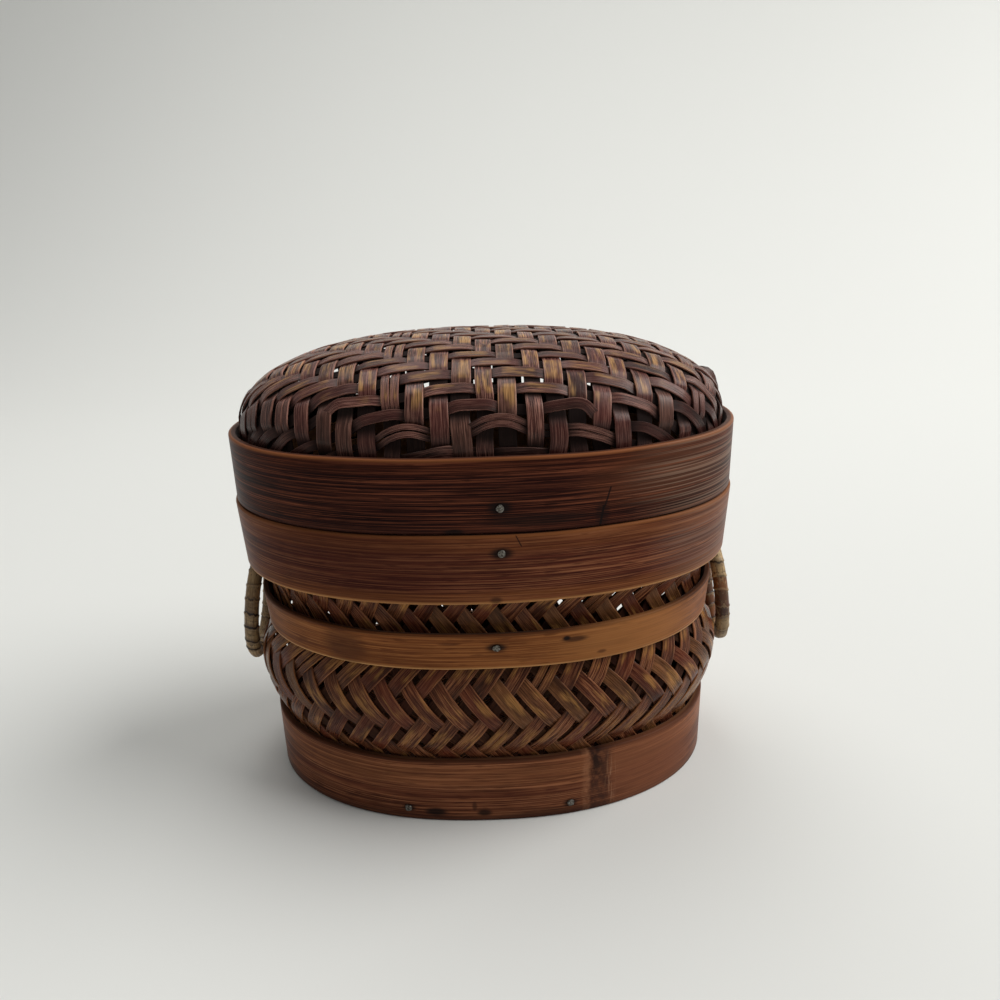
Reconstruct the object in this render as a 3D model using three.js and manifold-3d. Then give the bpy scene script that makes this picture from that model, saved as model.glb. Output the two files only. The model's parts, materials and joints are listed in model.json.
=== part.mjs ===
// Oval woven trinket box: domed lift-off lid, hoops nailed at rim, waist and foot, a drop ring at each end.
// Millimetres, +Z up, +X along the length, origin at the centre of the underside.
import * as THREE from "three";
import { mergeVertices } from "three/addons/utils/BufferGeometryUtils.js";
import Module from "manifold-3d";

const wasm = await Module();
wasm.setup();

// Plan of the box: a superellipse, taken on the outside of the woven wall inside the rim band
const wallLength = 142.0;
const wallWidth = 91.8;
const planExponent = 2.2;
const ovalSteps = 40;

// Woven wall
const weaveThickness = 1.2;
const floorHeight = 7.0;
const floorCorner = 1.6;
const footDrawEnds = 3.5;
const footDrawSides = 1.9;
const bellyHeight = 38.0;
const bellySwellEnds = 1.7;
const bellySwellSides = 2.3;
const waistDrawEnds = 4.0;
const waistDrawSides = 0.8;
const mouthDrop = 0.4;
const swellSteps = 3;
const drawSteps = 2;
const shoulderSteps = 3;

// Openings between the strips on the belly and the lid: a plain grid, coarser than the weave itself
const openingSize = 2.7;
const openingDepth = 8.0;
const facetsPerOpening = 2;
const lidOpeningPitch = 13.0;
const lidOpeningReach = 0.9;

// Bent hoops outside the wall
const fitGap = 0.3;
const hoopEdge = 0.4;
const footBandHeight = 20.5;
const footBandThickness = 1.9;
const midBandBottom = 50.5;
const midBandHeight = 11.6;
const midBandThickness = 1.6;
const midFlareEnds = 0.7;
const midFlareSides = 2.3;
const shoulderHeight = 8.2;
const rimBandHeight = 19.3;
const rimBandThickness = 1.9;
const rimFlare = 1.0;

// Hoops inside the wall
const footHoopRecess = 0.5;
const footHoopThickness = 2.0;
const collarRise = 5.0;
const collarThickness = 1.6;

// Lid
const lidClearance = 0.6;
const lidBandHeight = 19.3;
const lidBandThickness = 2.0;
const lidHoopLift = 0.6;
const lidHoopHeight = 6.0;
const lidHoopThickness = 1.5;
const crownRise = 25.3;
const domeSpring = 2.2;
const domeTaper = 5.0;
const domeInset = 1.0;
const domeShoulder = 2.45;
const domeCrown = 2.6;
const domeSteps = 9;

// Drop rings of bamboo root and the cane loops that hold them
const ringThickness = 4.7;
const ringWidth = 25.4;
const ringDrop = 37.7;
const ringJoints = 16;
const stepsPerJoint = 3;
const ringSides = 8;
const jointSwell = 0.2;
const ringSlack = 0.7;
const loopWidth = 3.4;
const loopThickness = 0.8;
const loopCorner = 1.4;

// Tacks: where each stands on its band, with x along the length and z above the band's lower edge
const tackHeadRadius = 1.05;
const tackCrownRadius = 0.85;
const tackHeadHeight = 0.5;
const tackEdgeHeight = 0.35;
const tackShankRadius = 0.5;
const tackPoint = 0.5;
const tackSeat = 0.15;
const tackHoleGap = 0.15;
const tackSides = 12;
const lidTackX = 3.6;
const lidTackLift = 6.6;
const rimTackX = 3.7;
const rimTackDrop = 4.9;
const midTackX = 1.7;
const midTackLift = 7.4;
const footTackLeftX = -25.1;
const footTackRightX = 21.8;
const footTackLift = 4.0;

// Heights and ovals that follow from the sizes above
const midBandTop = midBandBottom + midBandHeight;
const rimBandBottom = midBandTop + shoulderHeight;
const rimBandTop = rimBandBottom + rimBandHeight;
const rimTackLift = rimBandHeight - rimTackDrop;
const lidBandBottom = rimBandTop + fitGap;
const lidBandTop = lidBandBottom + lidBandHeight;
const collarTop = rimBandTop + collarRise;
const lidHoopBottom = collarTop + lidHoopLift;
const domeBase = lidBandTop - domeSpring;
const domeRise = crownRise + domeSpring;

const wallOval = { halfLength: wallLength / 2, halfWidth: wallWidth / 2 };
const footOval = grow(wallOval, -footDrawEnds, -footDrawSides);
const bellyOval = grow(wallOval, bellySwellEnds, bellySwellSides);
const waistOval = grow(wallOval, -waistDrawEnds, -waistDrawSides);
const footBandOval = grow(footOval, fitGap + footBandThickness);
const footHoopOval = footOval;
const midBandLowOval = grow(waistOval, fitGap + midBandThickness);
const midBandHighOval = grow(midBandLowOval, midFlareEnds, midFlareSides);
const rimBandLowOval = grow(wallOval, fitGap + rimBandThickness);
const rimBandHighOval = grow(rimBandLowOval, rimFlare);
const collarOval = grow(wallOval, -weaveThickness - fitGap);
const lidWeaveOval = grow(collarOval, lidClearance + weaveThickness);
const lidBandOval = grow(lidWeaveOval, fitGap + lidBandThickness);
const lidHoopOval = grow(lidWeaveOval, -weaveThickness - fitGap);
const domeOval = grow(lidWeaveOval, -domeInset);

const ringRadius = ringThickness / 2;
const ringAxisZ = (midBandTop + rimBandBottom) / 2;
const ringAxisX = wallAt(ringAxisZ).halfLength + fitGap + ringSlack + ringRadius;
const ringReach = ringDrop - ringThickness;
const ringRestX = bellyOval.halfLength + fitGap + ringRadius;
const ringTilt = Math.atan2(ringRestX - ringAxisX, ringAxisZ - bellyHeight);

// Ovals
function grow(oval, ends, sides = ends) {
  return { halfLength: oval.halfLength + ends, halfWidth: oval.halfWidth + sides };
}

function blend(from, to, share) {
  return {
    halfLength: THREE.MathUtils.lerp(from.halfLength, to.halfLength, share),
    halfWidth: THREE.MathUtils.lerp(from.halfWidth, to.halfWidth, share),
  };
}

function signedPower(value, power) {
  return Math.sign(value) * Math.abs(value) ** power;
}

function ovalPoint(oval, angle) {
  const power = 2 / planExponent;
  const x = oval.halfLength * signedPower(Math.cos(angle), power);
  const y = oval.halfWidth * signedPower(Math.sin(angle), power);
  return new THREE.Vector2(x, y);
}

// Outward direction, square to the plan, at a point on an oval
function ovalNormal(oval, point) {
  const slopeX = signedPower(point.x / oval.halfLength, planExponent - 1) / oval.halfLength;
  const slopeY = signedPower(point.y / oval.halfWidth, planExponent - 1) / oval.halfWidth;
  return new THREE.Vector3(slopeX, slopeY, 0).normalize();
}

// Outside of the woven wall at a height: straight in the foot, a belly, a waist, then out to the rim
function wallAt(z) {
  const quarter = Math.PI / 2;
  if (z <= footBandHeight) {
    return footOval;
  }
  if (z <= bellyHeight) {
    const rise = (z - footBandHeight) / (bellyHeight - footBandHeight);
    return blend(footOval, bellyOval, Math.sin(rise * quarter));
  }
  if (z <= midBandBottom) {
    const fall = (midBandBottom - z) / (midBandBottom - bellyHeight);
    return blend(waistOval, bellyOval, Math.sin(fall * quarter));
  }
  if (z <= midBandTop) {
    return waistOval;
  }
  const spread = Math.min((z - midBandTop) / (rimBandBottom - midBandTop), 1);
  return blend(waistOval, wallOval, spread ** 2);
}

function heightsOfWall() {
  const heights = [floorHeight + floorCorner];
  const curves = [
    [footBandHeight, bellyHeight, swellSteps],
    [bellyHeight, midBandBottom, drawSteps],
    [midBandTop, rimBandBottom, shoulderSteps],
  ];
  for (const [from, to, steps] of curves) {
    for (let step = 0; step <= steps; step += 1) {
      heights.push(THREE.MathUtils.lerp(from, to, step / steps));
    }
  }
  heights.push(rimBandTop - mouthDrop);
  return [...new Set(heights)];
}

// Solids lofted through a list of ovals at their heights, which closes on itself or ends on the axis
function level(oval, z) {
  return { ...oval, z };
}

function ovalLoft(levels) {
  const positions = [];
  const rows = [];
  for (const each of levels) {
    const start = positions.length / 3;
    if (each.halfLength === 0) {
      positions.push(0, 0, each.z);
      rows.push(Array(ovalSteps).fill(start));
      continue;
    }
    const row = [];
    for (let step = 0; step < ovalSteps; step += 1) {
      const point = ovalPoint(each, (step / ovalSteps) * 2 * Math.PI);
      positions.push(point.x, point.y, each.z);
      row.push(start + step);
    }
    rows.push(row);
  }
  const open = levels[0].halfLength === 0;
  const pairs = open ? rows.length - 1 : rows.length;
  const faces = [];
  for (let index = 0; index < pairs; index += 1) {
    const below = rows[index];
    const above = rows[(index + 1) % rows.length];
    addStrip(faces, below, above);
  }
  return indexedGeometry(positions, faces);
}

function addStrip(faces, below, above) {
  for (let step = 0; step < below.length; step += 1) {
    const next = (step + 1) % below.length;
    if (below[step] !== below[next]) {
      faces.push(below[step], below[next], above[next]);
    }
    if (above[step] !== above[next]) {
      faces.push(below[step], above[next], above[step]);
    }
  }
}

function indexedGeometry(positions, faces) {
  const geometry = new THREE.BufferGeometry();
  geometry.setAttribute("position", new THREE.Float32BufferAttribute(positions, 3));
  geometry.setIndex(faces);
  return geometry;
}

// A bent strip of bamboo: outer ovals at its lower and upper edge, with eased outer corners
function bandGeometry(low, high, bottom, top, thickness) {
  return ovalLoft([
    level(grow(low, -hoopEdge), bottom),
    level(low, bottom + hoopEdge),
    level(high, top - hoopEdge),
    level(grow(high, -hoopEdge), top),
    level(grow(high, -thickness), top),
    level(grow(low, -thickness), bottom),
  ]);
}

function innerHoopGeometry(outer, bottom, top, thickness) {
  return ovalLoft([
    level(outer, bottom),
    level(outer, top),
    level(grow(outer, -thickness), top),
    level(grow(outer, -thickness), bottom),
  ]);
}

// Woven body: floor, wall and open mouth as one skin
function bodyWeaveGeometry() {
  const heights = heightsOfWall();
  const centre = { halfLength: 0, halfWidth: 0 };
  const outside = heights.map((z) => level(wallAt(z), z));
  const inside = heights.map((z) => level(grow(wallAt(z), -weaveThickness), z));
  const floorEdge = grow(footOval, -floorCorner - weaveThickness);
  return ovalLoft([
    level(centre, floorHeight),
    level(grow(footOval, -floorCorner), floorHeight),
    ...outside,
    ...inside.reverse(),
    level(floorEdge, floorHeight + weaveThickness),
    level(centre, floorHeight + weaveThickness),
  ]);
}

// Woven lid: a skirt inside the lid band, drawn in a little at its top, then a dome with a full shoulder
function lidSkin(inset) {
  const skirt = grow(lidWeaveOval, -inset);
  const spring = grow(domeOval, -inset);
  const rise = domeRise - inset;
  const levels = [level(skirt, lidBandBottom + mouthDrop), level(skirt, domeBase - domeTaper)];
  for (let step = 0; step < domeSteps; step += 1) {
    const angle = (step / domeSteps) * (Math.PI / 2);
    const spread = Math.cos(angle) ** (2 / domeShoulder);
    const oval = { halfLength: spring.halfLength * spread, halfWidth: spring.halfWidth * spread };
    levels.push(level(oval, domeBase + rise * Math.sin(angle) ** (2 / domeCrown)));
  }
  levels.push(level({ halfLength: 0, halfWidth: 0 }, domeBase + rise));
  return levels;
}

function lidWeaveGeometry() {
  const inside = lidSkin(weaveThickness);
  const outside = lidSkin(0);
  return ovalLoft([...inside.reverse(), ...outside]);
}

// Openings in the weave, each cut square to the skin at its place
function openingGeometry(place, outward, turn) {
  const cutter = new THREE.BoxGeometry(openingSize, openingSize, openingDepth).rotateZ(turn);
  const facing = new THREE.Quaternion().setFromUnitVectors(new THREE.Vector3(0, 0, 1), outward);
  return cutter.applyQuaternion(facing).translate(place.x, place.y, place.z);
}

function bellyOpeningGeometries() {
  const belly = heightsOfWall().filter((z) => z > footBandHeight && z < midBandBottom);
  const rows = belly.slice(1).map((z, index) => (belly[index] + z) / 2);
  const openings = [];
  rows.forEach((z, row) => {
    const oval = wallAt(z);
    for (let step = row % facetsPerOpening; step < ovalSteps; step += facetsPerOpening) {
      const point = ovalPoint(oval, ((step + 0.5) / ovalSteps) * 2 * Math.PI);
      const place = new THREE.Vector3(point.x, point.y, z);
      openings.push(openingGeometry(place, ovalNormal(oval, point), Math.PI / 4));
    }
  });
  return openings;
}

function lidOpeningGeometries() {
  const across = Math.floor(domeOval.halfLength / lidOpeningPitch);
  const deep = Math.floor(domeOval.halfWidth / lidOpeningPitch);
  const openings = [];
  for (let column = -across; column <= across; column += 1) {
    for (let row = -deep; row <= deep; row += 1) {
      const point = new THREE.Vector2(column * lidOpeningPitch, row * lidOpeningPitch);
      const spreadX = Math.abs(point.x / domeOval.halfLength) ** planExponent;
      const spreadY = Math.abs(point.y / domeOval.halfWidth) ** planExponent;
      const spread = (spreadX + spreadY) ** (1 / planExponent);
      if (spread <= lidOpeningReach) {
        openings.push(lidOpeningGeometry(point, spread));
      }
    }
  }
  return openings;
}

function lidOpeningGeometry(point, spread) {
  const rise = (1 - spread ** domeShoulder) ** (1 / domeCrown);
  const lean = domeShoulder * spread ** (domeShoulder - planExponent);
  const outward = new THREE.Vector3(
    lean * signedPower(point.x / domeOval.halfLength, planExponent - 1) / domeOval.halfLength,
    lean * signedPower(point.y / domeOval.halfWidth, planExponent - 1) / domeOval.halfWidth,
    domeCrown * rise ** (domeCrown - 1) / domeRise,
  );
  const place = new THREE.Vector3(point.x, point.y, domeBase + domeRise * rise);
  return openingGeometry(place, outward.normalize(), 0);
}

// Drop ring: a bamboo root bent into an oval, thicker at each joint, hanging from the origin in the YZ plane
function ringPath() {
  const halfWidth = (ringWidth - ringThickness) / 2;
  const top = Math.PI / 2;
  return new THREE.EllipseCurve(0, -ringReach / 2, halfWidth, ringReach / 2, top, top - 2 * Math.PI, true);
}

function ringGeometry() {
  const steps = ringJoints * stepsPerJoint;
  const points = ringPath().getSpacedPoints(steps).slice(0, steps);
  const positions = [];
  const rows = [];
  points.forEach((point, index) => {
    const ahead = points[(index + 1) % steps];
    const behind = points[(index + steps - 1) % steps];
    const along = ahead.clone().sub(behind).normalize();
    const phase = (index / stepsPerJoint + 0.5) * 2 * Math.PI;
    const radius = ringRadius - jointSwell * (1 - Math.cos(phase)) / 2;
    const row = [];
    for (let side = 0; side < ringSides; side += 1) {
      const angle = (side / ringSides) * 2 * Math.PI;
      const outward = radius * Math.cos(angle);
      row.push(positions.length / 3);
      positions.push(radius * Math.sin(angle), point.x - along.y * outward, point.y + along.x * outward);
    }
    rows.push(row);
  });
  const faces = [];
  rows.forEach((row, index) => addStrip(faces, row, rows[(index + 1) % steps]));
  return indexedGeometry(positions, faces);
}

// Cane loop: passes round the ring's top bar and through two slits in the wall, and turns inside it
const loopHalfHeight = ringRadius + fitGap;
const wallInsideX = wallAt(ringAxisZ - loopHalfHeight - loopThickness).halfLength - weaveThickness;
const loopInnerX = wallInsideX - fitGap - loopCorner;
const loopOuterX = ringAxisX + ringRadius + fitGap;

function roundedOutline(path, low, high, halfHeight, corner) {
  path.moveTo(low + corner, -halfHeight);
  path.lineTo(high - corner, -halfHeight);
  path.absarc(high - corner, corner - halfHeight, corner, -Math.PI / 2, 0, false);
  path.absarc(high - corner, halfHeight - corner, corner, 0, Math.PI / 2, false);
  path.absarc(low + corner, halfHeight - corner, corner, Math.PI / 2, Math.PI, false);
  path.absarc(low + corner, corner - halfHeight, corner, Math.PI, Math.PI * 1.5, false);
  return path;
}

function loopGeometry() {
  const outerHeight = loopHalfHeight + loopThickness;
  const outerCorner = loopCorner + loopThickness;
  const outline = new THREE.Shape();
  roundedOutline(outline, loopInnerX - loopThickness, loopOuterX + loopThickness, outerHeight, outerCorner);
  outline.holes.push(roundedOutline(new THREE.Path(), loopInnerX, loopOuterX, loopHalfHeight, loopCorner));
  const options = { depth: loopWidth, bevelEnabled: false, curveSegments: 3 };
  const geometry = new THREE.ExtrudeGeometry(outline, options);
  geometry.translate(0, 0, -loopWidth / 2);
  geometry.rotateX(Math.PI / 2);
  geometry.translate(0, 0, ringAxisZ);
  return geometry;
}

function slitGeometries() {
  const depth = loopOuterX - loopInnerX;
  const height = loopThickness + 2 * fitGap;
  const middle = loopHalfHeight + loopThickness / 2;
  return [-middle, middle].map((lift) => {
    const slit = new THREE.BoxGeometry(depth, loopWidth + 2 * fitGap, height);
    return slit.translate((loopInnerX + loopOuterX) / 2, 0, ringAxisZ + lift);
  });
}

// Tacks: each is driven square to the band's face; the frame gives its seat on the face and its direction
function tackFrame(low, high, bottom, top, x, lift) {
  const oval = blend(low, high, lift / (top - bottom));
  const share = Math.abs(x) / oval.halfLength;
  const y = -oval.halfWidth * (1 - share ** planExponent) ** (1 / planExponent);
  const flat = ovalNormal(oval, new THREE.Vector2(x, y));
  const lean = Math.atan2(high.halfWidth - low.halfWidth, top - bottom);
  const outward = flat.multiplyScalar(Math.cos(lean)).setZ(-Math.sin(lean));
  return { seat: new THREE.Vector3(x, y, bottom + lift), outward };
}

function tackGeometry(depth) {
  const profile = [
    new THREE.Vector2(0, -depth),
    new THREE.Vector2(tackShankRadius, tackPoint - depth),
    new THREE.Vector2(tackShankRadius, tackSeat),
    new THREE.Vector2(tackHeadRadius, tackSeat),
    new THREE.Vector2(tackCrownRadius, tackSeat + tackEdgeHeight),
    new THREE.Vector2(0, tackSeat + tackHeadHeight),
  ];
  return new THREE.LatheGeometry(profile, tackSides);
}

function tackHoleGeometry(depth, frame) {
  const length = depth + tackHeadRadius;
  const hole = new THREE.CylinderGeometry(
    tackShankRadius + tackHoleGap, tackShankRadius + tackHoleGap, length, tackSides);
  hole.translate(0, (tackHeadRadius - depth) / 2, 0);
  return hole.applyMatrix4(tackMatrix(frame));
}

function tackMatrix(frame) {
  const turn = new THREE.Quaternion().setFromUnitVectors(new THREE.Vector3(0, 1, 0), frame.outward);
  return new THREE.Matrix4().compose(frame.seat, turn, new THREE.Vector3(1, 1, 1));
}

// Cuts
function solidFrom(geometry) {
  const bare = geometry.clone();
  bare.deleteAttribute("normal");
  bare.deleteAttribute("uv");
  const merged = mergeVertices(bare);
  return new wasm.Manifold(new wasm.Mesh({
    numProp: 3,
    vertProperties: new Float32Array(merged.attributes.position.array),
    triVerts: new Uint32Array(merged.index.array),
  }));
}

function cutGeometry(geometry, cutters) {
  let solid = solidFrom(geometry);
  for (const cutter of cutters) {
    solid = solid.subtract(solidFrom(cutter));
  }
  const mesh = solid.getMesh();
  return indexedGeometry([...mesh.vertProperties], [...mesh.triVerts]);
}

// Materials
function material(color, roughness, metalness = 0) {
  return new THREE.MeshStandardMaterial({ color, roughness, metalness });
}

const bodyCane = material(0x6c4026, 0.62);
const lidCane = material(0x603a30, 0.6);
const darkBamboo = material(0x3c180e, 0.42);
const redBamboo = material(0x5e2d1a, 0.45);
const tanBamboo = material(0x784623, 0.45);
const brownBamboo = material(0x724228, 0.48);
const innerBamboo = material(0x8a6544, 0.6);
const rootBamboo = material(0x83744f, 0.5);
const tieCane = material(0x5a4230, 0.6);
const tackSteel = material(0x8f8f8a, 0.4, 0.9);

// Assembly
const box = new THREE.Group();

function addPiece(parent, name, geometry, look) {
  geometry.computeVertexNormals();
  const mesh = new THREE.Mesh(geometry, look);
  mesh.name = name;
  parent.add(mesh);
  return mesh;
}

const footDepth = footBandThickness + fitGap + footHoopThickness;
const rimDepth = rimBandThickness + rimFlare + fitGap + weaveThickness + fitGap + collarThickness;
const midDepth = midBandThickness + midFlareSides + fitGap + weaveThickness;
const lidDepth = lidBandThickness + fitGap + weaveThickness + fitGap + lidHoopThickness;
const tacks = {
  lid_tack: {
    depth: lidDepth,
    frame: tackFrame(lidBandOval, lidBandOval, lidBandBottom, lidBandTop, lidTackX, lidTackLift),
    through: ["lid_band", "lid_weave", "lid_hoop"],
  },
  rim_tack: {
    depth: rimDepth,
    frame: tackFrame(rimBandLowOval, rimBandHighOval, rimBandBottom, rimBandTop, rimTackX, rimTackLift),
    through: ["rim_band", "body_weave", "rim_collar"],
  },
  mid_tack: {
    depth: midDepth,
    frame: tackFrame(midBandLowOval, midBandHighOval, midBandBottom, midBandTop, midTackX, midTackLift),
    through: ["mid_band", "body_weave"],
  },
  foot_tack_left: {
    depth: footDepth,
    frame: tackFrame(footBandOval, footBandOval, 0, footBandHeight, footTackLeftX, footTackLift),
    through: ["foot_band", "foot_hoop"],
  },
  foot_tack_right: {
    depth: footDepth,
    frame: tackFrame(footBandOval, footBandOval, 0, footBandHeight, footTackRightX, footTackLift),
    through: ["foot_band", "foot_hoop"],
  },
};

const endTurns = { right: 0, left: Math.PI };
const slits = Object.values(endTurns).flatMap((turn) => slitGeometries().map((slit) => slit.rotateZ(turn)));

function withHoles(name, geometry, cutters = []) {
  const holes = Object.values(tacks)
    .filter((tack) => tack.through.includes(name))
    .map((tack) => tackHoleGeometry(tack.depth, tack.frame));
  return cutGeometry(geometry, [...holes, ...cutters]);
}

const pieces = {
  body_weave: [bodyWeaveGeometry(), bodyCane, [...slits, ...bellyOpeningGeometries()]],
  foot_band: [bandGeometry(footBandOval, footBandOval, 0, footBandHeight, footBandThickness), brownBamboo],
  foot_hoop: [
    innerHoopGeometry(footHoopOval, footHoopRecess, floorHeight - fitGap, footHoopThickness),
    innerBamboo,
  ],
  mid_band: [
    bandGeometry(midBandLowOval, midBandHighOval, midBandBottom, midBandTop, midBandThickness),
    tanBamboo,
  ],
  rim_band: [
    bandGeometry(rimBandLowOval, rimBandHighOval, rimBandBottom, rimBandTop, rimBandThickness),
    redBamboo,
  ],
  rim_collar: [innerHoopGeometry(collarOval, rimBandBottom, collarTop, collarThickness), innerBamboo],
  lid_weave: [lidWeaveGeometry(), lidCane, lidOpeningGeometries()],
  lid_band: [bandGeometry(lidBandOval, lidBandOval, lidBandBottom, lidBandTop, lidBandThickness), darkBamboo],
  lid_hoop: [
    innerHoopGeometry(lidHoopOval, lidHoopBottom, lidHoopBottom + lidHoopHeight, lidHoopThickness),
    innerBamboo,
  ],
};

for (const [name, [geometry, look, cutters]] of Object.entries(pieces)) {
  addPiece(box, name, withHoles(name, geometry, cutters), look);
}

for (const [name, tack] of Object.entries(tacks)) {
  const mesh = addPiece(box, name, tackGeometry(tack.depth), tackSteel);
  mesh.applyMatrix4(tackMatrix(tack.frame));
}

for (const [side, turn] of Object.entries(endTurns)) {
  const end = new THREE.Group();
  end.rotation.z = turn;
  addPiece(end, `${side}_loop`, loopGeometry(), tieCane);
  const ring = addPiece(end, `${side}_ring`, ringGeometry(), rootBamboo);
  ring.position.set(ringAxisX, 0, ringAxisZ);
  ring.rotation.y = -ringTilt;
  box.add(end);
}

export default box;
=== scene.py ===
"""Looks of an oval woven trinket box: plaited strips, bent hoops, root rings, cane ties and tacks."""
import json
import math
import random

import bpy
import numpy as np
from mathutils import Matrix, Vector

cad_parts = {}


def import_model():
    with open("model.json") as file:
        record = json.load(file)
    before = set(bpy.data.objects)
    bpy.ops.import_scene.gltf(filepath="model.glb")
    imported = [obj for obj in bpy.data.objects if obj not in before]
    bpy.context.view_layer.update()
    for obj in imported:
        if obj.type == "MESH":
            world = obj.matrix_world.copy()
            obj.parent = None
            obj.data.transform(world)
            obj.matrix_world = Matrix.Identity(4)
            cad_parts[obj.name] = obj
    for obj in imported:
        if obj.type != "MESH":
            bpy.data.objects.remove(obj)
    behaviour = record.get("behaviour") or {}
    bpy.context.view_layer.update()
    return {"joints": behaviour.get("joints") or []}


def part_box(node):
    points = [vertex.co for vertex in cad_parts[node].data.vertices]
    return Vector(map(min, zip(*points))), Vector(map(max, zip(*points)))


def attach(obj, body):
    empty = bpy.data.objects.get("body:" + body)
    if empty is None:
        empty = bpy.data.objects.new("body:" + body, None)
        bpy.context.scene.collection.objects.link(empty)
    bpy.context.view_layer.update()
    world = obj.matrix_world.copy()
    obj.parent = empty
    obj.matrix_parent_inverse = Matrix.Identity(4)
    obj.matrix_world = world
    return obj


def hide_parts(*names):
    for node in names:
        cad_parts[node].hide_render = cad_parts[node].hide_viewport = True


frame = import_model()

MM = 0.001
FULL_TURN = 2 * math.pi
QUARTER_TURN = math.pi / 2

# Plan and wall, as the solids have them
PLAN_EXPONENT = 2.2
WEAVE_THICKNESS = 1.2 * MM
FIT_GAP = 0.3 * MM
FOOT_BAND_THICKNESS = 1.9 * MM
MID_BAND_THICKNESS = 1.6 * MM
RIM_BAND_THICKNESS = 1.9 * MM
LID_BAND_THICKNESS = 2.0 * MM
FOOT_HOOP_THICKNESS = 2.0 * MM
COLLAR_THICKNESS = 1.6 * MM
LID_HOOP_THICKNESS = 1.5 * MM
WAIST_DRAW = np.array([4.0, 0.8]) * MM
MID_FLARE = np.array([0.7, 2.3]) * MM
RIM_FLARE = 1.0 * MM
BELLY_HEIGHT = 38.0 * MM
FLOOR_HEIGHT = 7.0 * MM
PLAN_STEPS = 4000
WALL_STEPS = 1200

# Dome of the lid
DOME_SPRING = 2.2 * MM
DOME_INSET = 1.0 * MM
DOME_SHOULDER = 2.45
DOME_CROWN = 2.6
SKIRT_DEPTH = 9.0 * MM
SKIRT_STEPS = 12
SECTION_STEPS = 240
SECTION_COUNT = 161
TAIL_STEPS = 8

# A strip's cross-section with eased edges, from -1 to 1 each way, and the strands of a split strip
STRIP_SECTION = np.array([
    (-1, -0.6), (-1, 0.6), (-0.94, 1), (-0.8, 1), (0, 1.05), (0.8, 1), (0.94, 1), (1, 0.6),
    (1, -0.6), (0.94, -1), (0, -1), (-0.94, -1),
])
WAVE_PEAK = 1.8
STRAND_SHIFT = 0.27
STRAND_WANDER = 0.12
STRAND_WIDTH_SPREAD = (0.44, 0.52)

# Strips of the bias-plaited body: two families that cross, with rows of two-over floats
BIAS_STRIPS = 48
BIAS_ROW = 11.0 * MM
BIAS_TURN_HEIGHT = 33.4 * MM
BIAS_RISING_PHASE = 0.63
BIAS_FALLING_PHASE = 0.13
BIAS_WIDTH = 4.4 * MM
BIAS_THICKNESS = 0.5 * MM
BIAS_RELIEF = 0.35 * MM
BIAS_STEP = 1.1 * MM
FLOOR_PITCH = 5.2 * MM
FLOOR_STEPS = 260
FLOOR_MARGIN = 1.5 * MM
FLOOR_RELIEF = 0.21 * MM
FLOOR_WIDTH_SPREAD = (0.84, 0.93)
FLOOR_LEAST_STEPS = 6
CROSSING_SHARPNESS = 2.2

# Faults of handwork on the body
BODY_WANDER = 0.28 * MM
BODY_SHIFT = 0.3 * MM
BODY_ROLL = 0.07
BODY_RELIEF_SPREAD = (0.85, 1.2)
BODY_WIDTH_SPREAD = (0.9, 1.06)
BODY_WIDTH_WANDER = 0.15 * MM
BODY_SPLIT_SHARE = 0.14

# Strips of the lid: broad ones from front to back, narrow ones across
LONG_PITCH = 5.8 * MM
LONG_OFFSET = 0.7 * MM
LONG_WIDTH = 4.5 * MM
LONG_GILDING = 1.0
LONG_END_ROOM = 0.4 * LONG_PITCH
CROSS_PITCH = 4.5 * MM
CROSS_SPREAD_FROM = 8
CROSS_SPREAD = 0.6 * MM
CROSS_SPREAD_MORE = 0.09 * MM
CROSS_WIDTH = 3.05 * MM
CROSS_GILDING = 0.88
LID_STRIP_THICKNESS = 0.48 * MM
LID_RELIEF = 0.42 * MM
LID_STEPS = 130
RIM_ARCH = 0.45 * MM
RIM_SLIM = 0.1

# Faults of handwork on the lid, whose strips are looser near the rim
LID_WANDER = 0.25 * MM
LID_SHIFT = 0.35 * MM
LID_ROLL = 0.08
LID_WIDTH_SPREAD = (0.92, 1.06)
LID_WIDTH_WANDER = 0.18 * MM
LID_SPLIT_SHARE = 0.16
LOOSE_FROM, LOOSE_TO = 0.8, 0.97
LOOSE_ABOVE = 6 * MM
LOOSE_RELIEF_SPREAD = (0.2, 1.3)
LOOSE_WANDER = 0.7 * MM
LOOSE_WAVES = 5.0
# Wear on the lid's strips is low near the rim, so that they take painted shade there, and rises to full
# between two heights.
RIM_WEAR_AND_SHADE = 0.4
WEAR_AND_SHADE_FROM, WEAR_AND_SHADE_TO = 6 * MM, 18 * MM

# Where strips across the lid have sprung up: strip, then place along it, reach, rise and climb
# to the crown in mm, and twist in radians
SPRUNG = [
    (0, 67.0, 2.3, 2.3, 0.0, -0.9),
    (-11, 4.0, 6.5, 1.2, 1.8, -0.15),
    (-10, 23.5, 4.5, 1.5, 1.6, -0.3),
    (-11, -19.0, 5.0, 0.8, 1.2, 0.0),
    (-12, -8.0, 6.0, 0.6, 1.0, 0.0),
    (-11, 46.0, 5.0, 1.0, 1.4, -0.2),
    (-9, -36.0, 5.0, 0.9, 0.8, 0.0),
    (10, -20.0, 5.0, 1.2, 1.4, 0.2),
    (11, 22.0, 6.0, 1.2, 1.4, 0.2),
]
SPRUNG_WEAR = 0.65

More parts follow.
